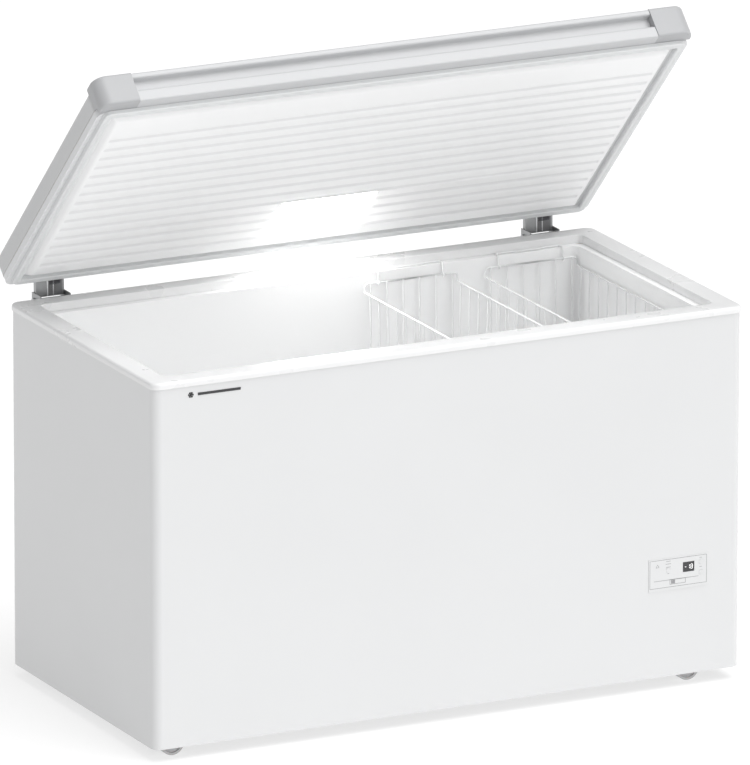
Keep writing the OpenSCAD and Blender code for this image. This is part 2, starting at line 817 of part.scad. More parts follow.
module hinge_bracket_left() { hinge_bracket(-1); }
module hinge_bracket_right() { hinge_bracket(1); }

// Pin pressed into the bracket's ears, with a head
module hinge_pin(s) {
    color("dimgray") in_frame() translate([s * hinge_x, pin_y, pin_z]) {
        bar_x([-hinge_w / 2 - 3, 0, 0], hinge_w + 6, pin_r);
        bar_x([hinge_w / 2 + fit, 0, 0], 3, pin_r + 2);
        bar_x([-hinge_w / 2 - 3 - fit, 0, 0], 3, pin_r + 2);
    }
}
module hinge_pins() { hinge_pin(-1); hinge_pin(1); }

// Points of the spring's wire centre, bottom to top
function spring_point(t) = [spring_r * cos(360 * spring_turns * t), spring_r * sin(360 * spring_turns * t),
    (cup_top - cup_h - seat_z - 2 * spring_wire - 2 * fit) * t];

// Helical spring as one swept skin
module hinge_spring(s) {
    rings = spring_turns * 12;
    sides = 6;
    centres = [for (i = [0 : rings]) spring_point(i / rings)];
    skin = [for (i = [0 : rings], k = [0 : sides - 1])
        let (a = 360 * spring_turns * i / rings, b = 360 * k / sides)
        centres[i] + [spring_wire * cos(b) * cos(a), spring_wire * cos(b) * sin(a), spring_wire * sin(b)]];
    walls = [for (i = [0 : rings - 1], k = [0 : sides - 1])
        [i * sides + k, i * sides + (k + 1) % sides, (i + 1) * sides + (k + 1) % sides, (i + 1) * sides + k]];
    caps = [[for (k = [sides - 1 : -1 : 0]) k], [for (k = [0 : sides - 1]) rings * sides + k]];
    color("dimgray") in_frame() translate([s * hinge_x, spring_y, seat_z + spring_wire + fit])
        polyhedron(points = skin, faces = concat(walls, caps));
}
module hinge_springs() { hinge_spring(-1); hinge_spring(1); }

// Cup that the spring pushes up against the leaf's toe
module spring_cup(s) {
    color("black") in_frame() translate([s * hinge_x, spring_y, cup_top - cup_h]) {
        cylinder(h = cup_h, r = cup_r);
        translate([0, 0, -8]) cylinder(h = 9, r = spring_r - spring_wire - 0.6);
    }
}
module spring_cups() { spring_cup(-1); spring_cup(1); }

// Screws that hold the brackets to the back
module hinge_screws() {
    color("silver") in_frame() for (s = [-1, 1], e = [-1, 1], z = screw_rows)
        translate([s * hinge_x + e * 20, 0, z]) {
            bar_y([0, half_d + fit, 0], hinge_t + fit, 2.2);
            bar_y([0, half_d + hinge_t + 2 * fit, 0], 3, 4.5);
        }
}

// Leaf under the lid's rear edge: a plate, two arms round the pin and a toe for the spring
module hinge_leaf(s) {
    arm_t = hinge_t;
    low_y = pin_y - gasket_rear;
    low_z = pin_z - gasket_z;
    x_arm = leaf_w / 2 - arm_t / 2;
    color("silver") in_frame() on_lid() translate([s * hinge_x, 0, 0]) difference() {
        union() {
            block([-leaf_w / 2, lid_back + fit, frame_z + 2],
                [leaf_w / 2, lid_back + fit + hinge_t, lid_h - 22]);
            for (e = [-1, 1])
                translate([e * x_arm - arm_t / 2, 0, 0]) rotate([90, 0, 90]) linear_extrude(arm_t)
                    leaf_arm_outline(low_y, low_z);
            translate([-leaf_w / 2, 0, 0]) rotate([90, 0, 90]) linear_extrude(leaf_w)
                polygon([[lid_back + fit, frame_z + 2], [low_y - pin_r - 4, low_z + 2],
                    [low_y - pin_r - 2, low_z + 4], [lid_back + fit + 3, frame_z + 4]]);
            translate([-leaf_w / 2, low_y + toe_y, low_z + toe_z]) rotate([0, 90, 0])
                cylinder(h = leaf_w, r = toe_r);
        }
        bar_x([-leaf_w, low_y, low_z], 2 * leaf_w, pin_r + pin_clear);
        for (e = [-1, 1]) bar_y([e * 18, lid_back - 4, lid_h - 34], 16, 2.6);
    }
}

// Side view of a leaf's arm: round the pin, forward to the toe and up to the plate
module leaf_arm_outline(py, pz) {
    boss = pin_r + 5;
    circle_at(py, pz, boss);
    circle_at(py + toe_y, pz + toe_z, toe_r + 2);
    polygon([[py - 2, pz - boss + 1], [py + boss - 1, pz + 2], [lid_back + fit + hinge_t + 6, frame_z + 10],
        [lid_back + fit, frame_z + 24], [lid_back + fit, frame_z + 2], [py - boss + 1, pz + 2]]);
    polygon([[py + toe_y - 1, pz + toe_z + toe_r + 2], [py + toe_y + 2, pz + toe_z - toe_r - 1],
        [py + 2, pz - boss + 1], [py - 4, pz + boss - 2]]);
}
module circle_at(y, z, r) { translate([y, z]) circle(r); }
module hinge_leaf_left() { hinge_leaf(-1); }
module hinge_leaf_right() { hinge_leaf(1); }

// Screws that hold the leaves to the lid
module lid_screws() {
    color("silver") in_frame() on_lid() for (s = [-1, 1], e = [-1, 1])
        translate([s * hinge_x + e * 18, 0, lid_h - 34]) {
            bar_y([0, lid_back + fit, 0], hinge_t + fit, 2.2);
            bar_y([0, lid_back + hinge_t + 2 * fit, 0], 2.5, 4.5);
        }
}

// ================= Lid =================

// Rounded rectangle slab in the lid's frame, between the rear edge and the front edge
module lid_slab(w, rear, front, r, z, h) {
    translate([0, -(rear + front) / 2, 0]) slab(w, front - rear, r, z, h);
}

// Steel pan: top and four sides with a round top edge
module lid_pan() {
    depth = lid_len + lid_back;
    mid = (lid_back - lid_len) / 2;
    color("white") in_frame() on_lid() translate([0, mid, 0]) {
        ring(2 * lid_half_w, depth, lid_corner_r, sheet_t, pan_low, lid_h - lid_edge_r - pan_low);
        rim_sweep(2 * lid_half_w, depth, lid_corner_r)
            translate([lid_corner_r - lid_edge_r, lid_h - lid_edge_r]) intersection() {
                difference() {
                    circle(lid_edge_r);
                    circle(lid_edge_r - sheet_t);
                }
                square(lid_edge_r);
            }
        slab(2 * (lid_half_w - lid_edge_r), depth - 2 * lid_edge_r, lid_corner_r - lid_edge_r,
            lid_h - sheet_t, sheet_t);
    }
}

// Plastic frame that holds pan, inner panel and gasket together
module lid_frame() {
    color("gainsboro") in_frame() on_lid() difference() {
        lid_slab(2 * lid_half_w - 2, -lid_back + 1, lid_len - 1, lid_corner_r - 1, frame_z, frame_h - fit);
        lid_slab(2 * (plug_half_w + fit), plug_rear - fit, plug_front + fit, 2 * fit, 0, lid_h);
    }
}

// Foam that fills the lid
module lid_foam() {
    color("khaki") in_frame() on_lid() difference() {
        union() {
            lid_slab(2 * (lid_half_w - sheet_t - fit), -lid_back + sheet_t + fit, lid_len - sheet_t - fit,
                lid_corner_r - sheet_t, pan_low, lid_h - lid_edge_r - pan_low);
            lid_slab(2 * (lid_half_w - lid_edge_r), -lid_back + lid_edge_r, lid_len - lid_edge_r,
                lid_corner_r - lid_edge_r, pan_low, lid_h - sheet_t - fit - pan_low);
            lid_slab(2 * (plug_half_w - plug_slope - plug_t), plug_rear + plug_slope + plug_t,
                plug_front - plug_slope - plug_t, 12, plug_t + fit, lid_h - lid_edge_r);
        }
        lamp_room(fit, lamp_h + 2);
    }
}

// Box-shaped room for the lamp in the lid, grown by g
module lamp_room(g, h) {
    block([-lamp_w / 2 - g, -lamp_rear - lamp_d - g, -eps], [lamp_w / 2 + g, -lamp_rear + g, h + g]);
}

// Solid with slanted sides: the plug that stands down into the cabinet's mouth
module plug_shape(g) {
    rise = frame_z + 6;
    low = plug_slope + g;
    intersection() {
        rotate([90, 0, 0]) translate([0, 0, plug_rear - eps]) linear_extrude(plug_front - plug_rear + 2 * eps)
            plug_outline(plug_half_w, low, g, rise);
        translate([-plug_half_w - eps, -(plug_rear + plug_front) / 2, 0]) rotate([90, 0, 90])
            linear_extrude(2 * plug_half_w + 2 * eps)
            plug_outline((plug_front - plug_rear) / 2, low, g, rise);
    }
}

// Half outline of the plug, mirrored: narrow below, full width from the frame up
module plug_outline(half, low, g, rise) {
    polygon([[-half + low, g], [half - low, g], [half - g, frame_z], [half - g, rise],
        [-half + g, rise], [-half + g, frame_z]]);
}

// Inner panel of the lid: slanted sides, grooves across, and a window for the lamp
module lid_inner_panel() {
    color("white") in_frame() on_lid() difference() {
        plug_shape(0);
        difference() {
            plug_shape(plug_t);
            translate([0, 0, -lid_h + plug_t]) lid_slab(cabinet_w, 0, cabinet_d, 1, 0, lid_h);
        }
        translate([0, 0, frame_z + 2]) lid_slab(2 * (plug_half_w - plug_t), plug_rear + plug_t,
            plug_front - plug_t, 8, 0, lid_h);
        for (i = [0 : groove_count - 1])
            translate([0, -groove_first - i * groove_pitch, 0])
                cube([2 * (plug_half_w - plug_slope - 28), groove_w, 2 * groove_depth], center = true);
        lamp_room(fit, lid_h);
    }
}

// Soft gasket round the lid's underside
module lid_gasket() {
    color("gainsboro") in_frame() on_lid() translate([0, -gasket_rear, 0])
        ring(2 * seal_half_w, 2 * gasket_rear, 12, gasket_w, 0, gasket_h - 0.05);
}

// Handle profile along the lid's front with its finger channel
module handle_profile() {
    lip_low = handle_h - grip_h - 13;
    color("whitesmoke") in_frame() on_lid() translate([-half_handle, -handle_back - handle_d, frame_z])
        rotate([90, 0, 90]) linear_extrude(2 * half_handle) difference() {
            union() {
                square([handle_d, handle_h - 13]);
                translate([0, handle_h - 13]) square([handle_d, 13]);
            }
            translate([-eps, lip_low]) square([grip_d + eps, grip_h]);
            translate([3, 3]) square([handle_d - 6, lip_low - 6]);
        }
}

// Moulded cap that closes an end of the handle, with a round outer corner
module handle_cap(s) {
    d = handle_d + cap_proud;
    r = 30 - cap_proud;
    color("gainsboro") in_frame() on_lid() mirror([s < 0 ? 1 : 0, 0, 0]) difference() {
        translate([half_handle + fit, -handle_back - d, frame_z - cap_proud])
            linear_extrude(handle_h + 2 * cap_proud) {
                square([cap_w - r, d]);
                translate([0, r - 2]) square([cap_w - fit, d - r + 2]);
                intersection() {
                    translate([cap_w - fit - r, r]) circle(r);
                    square([cap_w, d]);
                }
            }
        block([0, -2 * gasket_rear - fit, 0], [cabinet_w, 0, frame_z]);
    }
}
module handle_cap_left() { handle_cap(-1); }
module handle_cap_right() { handle_cap(1); }

// Plastic tray that holds the lamp
module lamp_housing() {
    color("white") in_frame() on_lid() difference() {
        block([-lamp_w / 2, -lamp_rear - lamp_d, 4], [lamp_w / 2, -lamp_rear, lamp_h]);
        block([-lamp_w / 2 + 2, -lamp_rear - lamp_d + 2, 0], [lamp_w / 2 - 2, -lamp_rear - 2, lamp_h - 2]);
    }
}

// Clear cover of the lamp
module lamp_lens() {
    color("lightyellow") in_frame() on_lid()
        block([-lamp_w / 2, -lamp_rear - lamp_d, 0.5], [lamp_w / 2, -lamp_rear, 3.7]);
}

// Board with the light emitters
module lamp_board() {
    color("green") in_frame() on_lid() {
        block([-lamp_w / 2 + 10, -lamp_rear - lamp_d / 2 - 12, lamp_h - 4.5],
            [lamp_w / 2 - 10, -lamp_rear - lamp_d / 2 + 12, lamp_h - 2.3]);
        for (i = [-3 : 3])
            translate([i * 26, -lamp_rear - lamp_d / 2, lamp_h - 5.5]) cube([5, 5, 2.2], center = true);
    }
}

// ================= Baskets =================

// Flat wire wall in the XZ plane, w wide, from z_low to z_high, with upright wires
module wire_wall(w, z_low, z_high, count, top_r) {
    span = w / 2 - top_r - corner_gap;
    bar_x([-span, 0, z_high], 2 * span, top_r);
    bar_x([-span, 0, z_low], 2 * span, wire_r + weld);
    for (i = [0 : count - 1])
        bar_z([-span + thin_wire + i * 2 * (span - thin_wire) / (count - 1), 0, z_low],
            z_high - z_low, wire_r);
}

// Wire basket: four walls and a floor
module basket(x) {
    low = basket_bar_z - basket_h;
    side_d = basket_d - 2 * (rim_wire + corner_gap);
    color("white") in_frame() translate([x, 0, 0]) {
        for (s = [-1, 1]) {
            translate([0, s * (basket_d / 2 - rim_r), 0])
                wire_wall(basket_w, low + rim_wire, basket_bar_z, 6, rim_r);
            translate([s * (basket_w / 2 - rim_r), 0, 0]) rotate([0, 0, 90])
                wire_wall(side_d + 2 * corner_gap, low + rim_wire, basket_side_z, 13, rim_r);
        }
        basket_floor(low, basket_w - 2 * rim_wire - 2 * corner_gap, side_d - 2 * corner_gap);
    }
}

// Crossed wires of a basket's floor
module basket_floor(z, w, d) {
    for (i = [0 : 5])
        bar_y([-w / 2 + thin_wire + i * (w - 2 * thin_wire) / 5, -d / 2, z + thin_wire - weld], d, wire_r);
    for (i = [0 : 11]) bar_x([-w / 2, -d / 2 + thin_wire + i * (d - 2 * thin_wire) / 11, z], w, wire_r);
}
module basket_left() { basket(basket_x1); }
module basket_right() { basket(basket_x2); }

// Wire handle that turns on the basket's end bar and rests on the ledge
module bail(x, s) {
    rest_z = ledge_z + rim_r + fit;
    bar_at = basket_d / 2 - rim_r;
    reach = wall_t - collar_top_w - 7;
    out_y = inner_d / 2 + reach;
    leg_x = bail_w / 2 - rim_r;
    color("white") in_frame() translate([x, 0, 0]) mirror([0, s < 0 ? 1 : 0, 0]) {
        bar_x([-leg_x - rim_r, out_y, rest_z], 2 * leg_x + 2 * rim_r, rim_r);
        for (e = [-1, 1]) {
            bar_y([e * leg_x, bar_at, rest_z], out_y - bar_at, rim_r);
            translate([e * leg_x, bar_at, rest_z]) sphere(rim_r);
            difference() {
                union() {
                    bar_z([e * leg_x, bar_at, basket_bar_z + rim_r], rest_z - basket_bar_z - rim_r, rim_r);
                    bar_x([e * leg_x - 2.5, bar_at, basket_bar_z], 5, rim_r + 2);
                }
                bar_x([-basket_w, bar_at, basket_bar_z], 2 * basket_w, rim_r + 0.08);
            }
        }
    }
}

module left_basket_front_handle() { bail(basket_x1, -1); }
module left_basket_rear_handle() { bail(basket_x1, 1); }
module right_basket_front_handle() { bail(basket_x2, -1); }
module right_basket_rear_handle() { bail(basket_x2, 1); }

outer_casing();
rear_panel();
base_pan();
cabinet_foam();
inner_liner();
top_collar();
bay_partition();
condenser_tube();
evaporator_tube();
compressor();
compressor_plate();
compressor_grommets();
compressor_bolts();
relay_cover();
filter_drier();
suction_pipe();
ventilation_grille();
grille_screws();
power_inlet();
drain_tube();
drain_plug();
control_fascia();
display_window();
control_board();
key_power();
key_up();
key_down();
front_badge();
roller_brackets();
roller_axles();
roller_front_left();
roller_front_right();
roller_rear_left();
roller_rear_right();
hinge_bracket_left();
hinge_bracket_right();
hinge_pins();
hinge_springs();
spring_cups();
hinge_screws();
hinge_leaf_left();
hinge_leaf_right();
lid_screws();
lid_pan();
lid_frame();
lid_foam();
lid_inner_panel();
lid_gasket();
handle_profile();
handle_cap_left();
handle_cap_right();
lamp_housing();
lamp_lens();
lamp_board();
basket_left();
basket_right();
left_basket_front_handle();
left_basket_rear_handle();
right_basket_front_handle();
right_basket_rear_handle();
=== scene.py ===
"""Looks of the chest freezer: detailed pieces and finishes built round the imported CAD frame."""

import json
import logging
import math
from dataclasses import dataclass, field
from enum import Enum
from typing import Iterable, Sequence

import bmesh
import bpy
from mathutils import Matrix, Vector


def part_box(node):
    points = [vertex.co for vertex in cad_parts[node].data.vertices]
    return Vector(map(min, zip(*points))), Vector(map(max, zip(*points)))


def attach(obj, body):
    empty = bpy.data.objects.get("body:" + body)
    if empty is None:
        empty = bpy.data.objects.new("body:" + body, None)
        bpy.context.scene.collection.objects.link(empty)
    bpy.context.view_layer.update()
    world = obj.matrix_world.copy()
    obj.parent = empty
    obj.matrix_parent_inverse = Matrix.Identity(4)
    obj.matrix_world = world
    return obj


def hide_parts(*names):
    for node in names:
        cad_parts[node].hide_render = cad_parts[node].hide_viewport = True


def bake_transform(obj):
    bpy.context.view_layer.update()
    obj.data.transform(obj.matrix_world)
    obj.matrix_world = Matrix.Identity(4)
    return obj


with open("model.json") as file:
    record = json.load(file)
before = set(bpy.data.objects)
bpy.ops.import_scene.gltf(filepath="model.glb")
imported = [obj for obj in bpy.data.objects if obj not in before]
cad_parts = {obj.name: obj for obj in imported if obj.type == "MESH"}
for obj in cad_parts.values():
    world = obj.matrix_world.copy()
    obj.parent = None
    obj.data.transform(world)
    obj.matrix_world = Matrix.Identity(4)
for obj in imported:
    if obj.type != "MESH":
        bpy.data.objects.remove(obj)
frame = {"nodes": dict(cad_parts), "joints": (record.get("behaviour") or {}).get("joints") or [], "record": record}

logging.basicConfig(level=logging.INFO, format="%(name)s: %(message)s")
log = logging.getLogger("freezer")

Point = tuple[float, float, float]
Pair = tuple[float, float]
Loop = Sequence[Sequence[float]]
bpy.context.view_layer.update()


class Body(str, Enum):
    """Bodies of the frame that the new pieces ride on."""

    CABINET = "cabinet"
    LID = "lid"
    BASKET_LEFT = "basket_left"
    BASKET_RIGHT = "basket_right"
    SPRING_CUPS = "spring_cups"


class Slot(str, Enum):
    """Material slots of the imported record."""

    LINER = "liner_white"
    WHITE_PLASTIC = "white_plastic"
    GASKET = "gasket_rubber"
    HANDLE = "handle_plastic"
    CAP = "cap_plastic"
    LENS = "lamp_lens"
    WIRE = "basket_wire"
    BADGE = "badge_grey"
    GLASS = "dark_glass"
    ZINC = "zinc_steel"
    DARK_SHEET = "grey_plastic"
    SPRING = "spring_steel"


# ------ finishes


@dataclass(frozen=True)
class Finish:
    """One procedural surface finish.

    The colour drifts a little with a large noise, and the grain of the surface is a bump.
    """

    name: str
    colour: tuple[float, float, float]
    roughness: float = 0.5
    metallic: float = 0.0
    coat: float = 0.0
    coat_roughness: float = 0.1
    specular: float = 0.5
    drift: float = 0.02
    drift_scale: float = 3.0
    grain_scale: float = 900.0
    grain: float = 0.05
    grain_depth: float = 0.0002
    stretch: Point = (1.0, 1.0, 1.0)
    wear: float = 0.03
    emission: float = 0.0
    emission_colour: tuple[float, float, float] = (1.0, 1.0, 1.0)
    subsurface: float = 0.0

    def make(self) -> bpy.types.Material:
        """Builds the node material once and returns it.

        Returns:
            The material, taken from the file if it is there already.
        """
        name = "finish_" + self.name
        known = bpy.data.materials.get(name)
        if known is not None:
            return known
        material = bpy.data.materials.new(name)
        material.use_nodes = True
        tree = material.node_tree
        shader = tree.nodes["Principled BSDF"]
        shader.inputs["Metallic"].default_value = self.metallic
        shader.inputs["Coat Weight"].default_value = self.coat
        shader.inputs["Coat Roughness"].default_value = self.coat_roughness
        shader.inputs["Specular IOR Level"].default_value = self.specular
        shader.inputs["Emission Strength"].default_value = self.emission
        shader.inputs["Emission Color"].default_value = (*self.emission_colour, 1.0)
        shader.inputs["Subsurface Weight"].default_value = self.subsurface
        place = tree.nodes.new("ShaderNodeTexCoord")
        scale = tree.nodes.new("ShaderNodeMapping")
        scale.inputs["Scale"].default_value = self.stretch
        tree.links.new(place.outputs["Object"], scale.inputs["Vector"])
        self._colour(tree, shader, scale)
        self._roughness(tree, shader, scale)
        self._bump(tree, shader, scale)
        return material

    def _noise(self, tree: bpy.types.NodeTree, vector: bpy.types.Node, scale: float, detail: float):
        """Adds a noise texture on the mapped place and returns it."""
        noise = tree.nodes.new("ShaderNodeTexNoise")
        noise.inputs["Scale"].default_value = scale
        noise.inputs["Detail"].default_value = detail
        tree.links.new(vector.outputs["Vector"], noise.inputs["Vector"])
        return noise

    def _colour(self, tree: bpy.types.NodeTree, shader: bpy.types.Node, vector: bpy.types.Node) -> None:
        """Links a slow colour drift to the base colour."""
        noise = self._noise(tree, vector, self.drift_scale, 3.0)
        ramp = tree.nodes.new("ShaderNodeValToRGB")
        low = tuple(max(0.0, c * (1.0 - self.drift)) for c in self.colour)
        high = tuple(min(1.0, c * (1.0 + self.drift)) for c in self.colour)
        ramp.color_ramp.elements[0].position = 0.3
        ramp.color_ramp.elements[1].position = 0.7
        ramp.color_ramp.elements[0].color = (*low, 1.0)
        ramp.color_ramp.elements[1].color = (*high, 1.0)
        tree.links.new(noise.outputs["Fac"], ramp.inputs["Fac"])
        tree.links.new(ramp.outputs["Color"], shader.inputs["Base Color"])

    def _roughness(self, tree: bpy.types.NodeTree, shader: bpy.types.Node, vector: bpy.types.Node) -> None:
        """Links a patchy roughness, as from handling and wiping."""
        noise = self._noise(tree, vector, 11.0, 4.0)
        spread = tree.nodes.new("ShaderNodeMapRange")
        spread.inputs["To Min"].default_value = max(0.02, self.roughness - self.wear)
        spread.inputs["To Max"].default_value = min(1.0, self.roughness + self.wear)
        tree.links.new(noise.outputs["Fac"], spread.inputs["Value"])
        tree.links.new(spread.outputs["Result"], shader.inputs["Roughness"])

    def _bump(self, tree: bpy.types.NodeTree, shader: bpy.types.Node, vector: bpy.types.Node) -> None:
        """Links the fine grain to the normal."""
        noise = self._noise(tree, vector, self.grain_scale, 2.0)
        bump = tree.nodes.new("ShaderNodeBump")
        bump.inputs["Strength"].default_value = self.grain
        bump.inputs["Distance"].default_value = self.grain_depth
        tree.links.new(noise.outputs["Fac"], bump.inputs["Height"])
        tree.links.new(bump.outputs["Normal"], shader.inputs["Normal"])


STEEL_PAINT = Finish(
    "steel_paint", (0.7, 0.705, 0.71), 0.34, coat=0.25, coat_roughness=0.2, drift=0.008, grain=0.12
)
LINER_PAINT = Finish("liner_paint", (0.95, 0.953, 0.956), 0.4, coat=0.15, drift=0.008, grain=0.1)
COLLAR_PLASTIC = Finish("collar_plastic", (0.8, 0.803, 0.806), 0.28, coat=0.3, drift=0.006, grain=0.04)
# Lid pan: the casing's white darkened to grey, as painted shade standing for the shaded side of the lid.
LID_PAINTED_SHADE = Finish(
    "lid_painted_shade", (0.53, 0.535, 0.542), 0.36, coat=0.2, coat_roughness=0.2, drift=0.008, grain=0.12
)
# Darker copy of the panel plastic for the bottoms of the grooves: painted shade.
PANEL_GROOVE_SHADE = Finish("panel_groove_shade", (0.805, 0.808, 0.812), 0.4, drift=0.006, grain=0.05)
PANEL_PLASTIC = Finish("panel_plastic", (0.91, 0.912, 0.915), 0.38, drift=0.006, grain=0.05)
FRAME_PLASTIC = Finish("frame_plastic", (0.72, 0.725, 0.735), 0.42, drift=0.01, grain=0.08)
HANDLE_PLASTIC = Finish("handle_plastic", (0.56, 0.565, 0.575), 0.38, drift=0.01, grain=0.08)
CAP_PLASTIC = Finish("cap_plastic", (0.44, 0.445, 0.455), 0.44, drift=0.01, grain=0.2, grain_scale=1600.0)
GASKET_VINYL = Finish("gasket_vinyl", (0.72, 0.73, 0.735), 0.55, drift=0.02, grain=0.1)
WIRE_COAT = Finish("wire_coat", (0.86, 0.865, 0.87), 0.3, coat=0.4, drift=0.01, grain=0.03)
ZINC = Finish(
    "zinc_plate", (0.37, 0.375, 0.38), 0.42, metallic=0.9, drift=0.06, drift_scale=25.0, grain=0.15, wear=0.1
)
PIN_STEEL = Finish("pin_steel", (0.4, 0.41, 0.42), 0.3, metallic=1.0, drift=0.08, stretch=(0.1, 1.0, 1.0))
SPRING_STEEL = Finish("spring_steel", (0.12, 0.12, 0.13), 0.35, metallic=0.9, drift=0.08)
COPPER = Finish(
    "drawn_copper", (0.72, 0.38, 0.24), 0.35, metallic=1.0, drift=0.12, drift_scale=18.0, wear=0.12
)
TUBE_ALLOY = Finish("tube_alloy", (0.7, 0.71, 0.72), 0.4, metallic=1.0, drift=0.05)
BLACK_ENAMEL = Finish("black_enamel", (0.02, 0.02, 0.022), 0.3, coat=0.5, grain=0.15, grain_scale=400.0)
BLACK_PLASTIC = Finish("black_plastic", (0.025, 0.025, 0.027), 0.5, grain=0.3, grain_scale=1500.0)
BLACK_RUBBER = Finish("black_rubber", (0.03, 0.03, 0.03), 0.75, grain=0.3)
GREY_SHEET = Finish("grey_sheet", (0.12, 0.12, 0.125), 0.6, grain=0.2)
HINGE_SHADE = Finish(
    "hinge_shade", (0.2, 0.2, 0.205), 0.5, metallic=0.4, drift=0.1, drift_scale=60.0, grain=0.2
)
# Zinc steel made much brighter for the hinge leaf's ribs: a lit copy of the zinc, painted highlight.
RIB_HIGHLIGHT_STEEL = Finish("rib_highlight_steel", (0.75, 0.755, 0.76), 0.35, metallic=0.6, drift=0.05)
GRILLE_PLASTIC = Finish("grille_plastic", (0.68, 0.685, 0.69), 0.5, grain=0.3, grain_scale=1500.0)
# Rollers: grey nylon, made darker still as painted shade for their place under the casing.
ROLLER_NYLON_AND_SHADE = Finish("roller_nylon_and_shade", (0.5, 0.505, 0.51), 0.5, drift=0.04, grain=0.15, subsurface=0.05)
CIRCUIT = Finish("circuit_lacquer", (0.02, 0.16, 0.07), 0.35, drift=0.3, drift_scale=160.0, coat=0.4)
FOAM = Finish("foam_skin", (0.75, 0.66, 0.4), 0.8, drift=0.1, drift_scale=30.0, grain=0.6, grain_scale=300.0)
DARK_GLASS = Finish("display_glass", (0.012, 0.012, 0.015), 0.08, coat=1.0, coat_roughness=0.03, grain=0.0)
KEY_PLASTIC = Finish("key_plastic", (0.69, 0.695, 0.7), 0.42, grain=0.1)
BADGE_INK = Finish("badge_ink", (0.03, 0.03, 0.033), 0.35, coat=0.3, grain=0.05)
PRINT_INK = Finish("print_ink", (0.3, 0.3, 0.31), 0.5, grain=0.02)
DIGIT_GLOW = Finish("digit_glow", (0.8, 0.8, 0.8), 0.4, emission=0.9)
LAMP_GLOW = Finish("lamp_glow", (0.95, 0.95, 0.94), 0.4, emission=16.0, emission_colour=(1.0, 0.995, 0.98))

NODE_FINISHES: dict[str, Finish] = {
    # The lid pan takes the grey of painted shade.
    "lid_pan": LID_PAINTED_SHADE,
    "control_fascia": STEEL_PAINT,
    "grille_screws": GRILLE_PLASTIC,
}
CAD_FINISHES: dict[str, Finish] = {
    "white_steel": STEEL_PAINT,
    "zinc_steel": ZINC,
    "foam": FOAM,
    "liner_white": LINER_PAINT,
    "white_plastic": COLLAR_PLASTIC,
    "grey_plastic": GREY_SHEET,
    "copper": COPPER,
    "aluminium_tube": TUBE_ALLOY,
    "black_steel": BLACK_ENAMEL,
    "black_rubber": BLACK_RUBBER,
    "black_plastic": BLACK_PLASTIC,
    "grille_plastic": GRILLE_PLASTIC,
    "dark_glass": DARK_GLASS,
    "circuit_board": CIRCUIT,
    "key_plastic": KEY_PLASTIC,
    "badge_grey": BADGE_INK,
    # Rollers take grey nylon darkened with painted shade.
    "roller_plastic": ROLLER_NYLON_AND_SHADE,
    "pin_steel": PIN_STEEL,
    "spring_steel": SPRING_STEEL,
    "frame_plastic": FRAME_PLASTIC,
    "gasket_rubber": GASKET_VINYL,
    "handle_plastic": HANDLE_PLASTIC,
    "cap_plastic": CAP_PLASTIC,
    "lamp_lens": LAMP_GLOW,
    "basket_wire": WIRE_COAT,
}


# ------ mesh tools


class MeshMaker:
    """Collects points and faces, and turns them into one object."""

    def __init__(self) -> None:
        """Starts empty."""
        self.points: list[Vector] = []
        self.faces: list[tuple[int, ...]] = []

    def add(self, points: Iterable[Sequence[float]], faces: Iterable[Sequence[int]]) -> None:
        """Adds a patch of its own.

        Args:
            points: places in metres.
            faces: corner numbers within these points.
        """
        first = len(self.points)
        self.points.extend(Vector(p) for p in points)
        self.faces.extend(tuple(first + i for i in face) for face in faces)

    def loft(self, loops: Sequence[Loop], ring: bool = False, caps: bool = False) -> None:
        """Skins closed loops of equal length, one after another.

        Args:
            loops: the loops, each a list of places.
            ring: joins the last loop back to the first.
            caps: closes the first and last loop with one face each.
        """
        count = len(loops[0])
        points = [p for loop in loops for p in loop]
        faces: list[tuple[int, ...]] = []
        spans = len(loops) if ring else len(loops) - 1
        for i in range(spans):
            a, b = i * count, ((i + 1) % len(loops)) * count
            faces += [(a + k, a + (k + 1) % count, b + (k + 1) % count, b + k) for k in range(count)]
        if caps:
            last = (len(loops) - 1) * count
            faces.append(tuple(reversed(range(count))))
            faces.append(tuple(range(last, last + count)))
        self.add(points, faces)

    def tube(self, path: Sequence[Vector], radius: float, sides: int = 10) -> None:
        """Sweeps a round wire along an open path and closes its ends.

        Args:
            path: the wire's middle line.
            radius: the wire's radius in metres.
            sides: corners round the wire.
        """
        path = [Vector(p) for p in path]
        heading = (path[1] - path[0]).normalized()
        side = heading.orthogonal().normalized()
        loops: list[list[Vector]] = []
        for i, place in enumerate(path):
            ahead = path[min(i + 1, len(path) - 1)] - path[max(i - 1, 0)]
            turn = heading.rotation_difference(ahead.normalized())
            heading = ahead.normalized()
            side = (turn @ side).normalized()
            up = heading.cross(side)
            angles = [2 * math.pi * k / sides for k in range(sides)]
            loops.append([place + radius * (math.cos(a) * side + math.sin(a) * up) for a in angles])
        self.loft(loops, caps=True)

    def object(
        self,
        name: str,
        finish: Finish,
        smooth: float = 40.0,
        place: Matrix | None = None,
    ) -> bpy.types.Object:
        """Makes the object.

        Args:
            name: the object's name.
            finish: its material.
            smooth: largest angle in degrees that is shaded as one curve.
            place: matrix that takes the points to the frame.

        Returns:
            The linked object, with its place in its mesh.
        """
        mesh = bpy.data.meshes.new(name)
        matrix = place or Matrix.Identity(4)
        mesh.from_pydata([matrix @ p for p in self.points], [], self.faces)
        net = bmesh.new()
        net.from_mesh(mesh)
        bmesh.ops.remove_doubles(net, verts=net.verts, dist=1e-6)
        bmesh.ops.recalc_face_normals(net, faces=net.faces)
        net.to_mesh(mesh)
        net.free()
        mesh.materials.append(finish.make())
        piece = bpy.data.objects.new(name, mesh)
        bpy.context.scene.collection.objects.link(piece)
        mesh.shade_smooth()
        mesh.set_sharp_from_angle(angle=math.radians(smooth))
        log.info("%s: %d faces", name, len(mesh.polygons))
        return piece


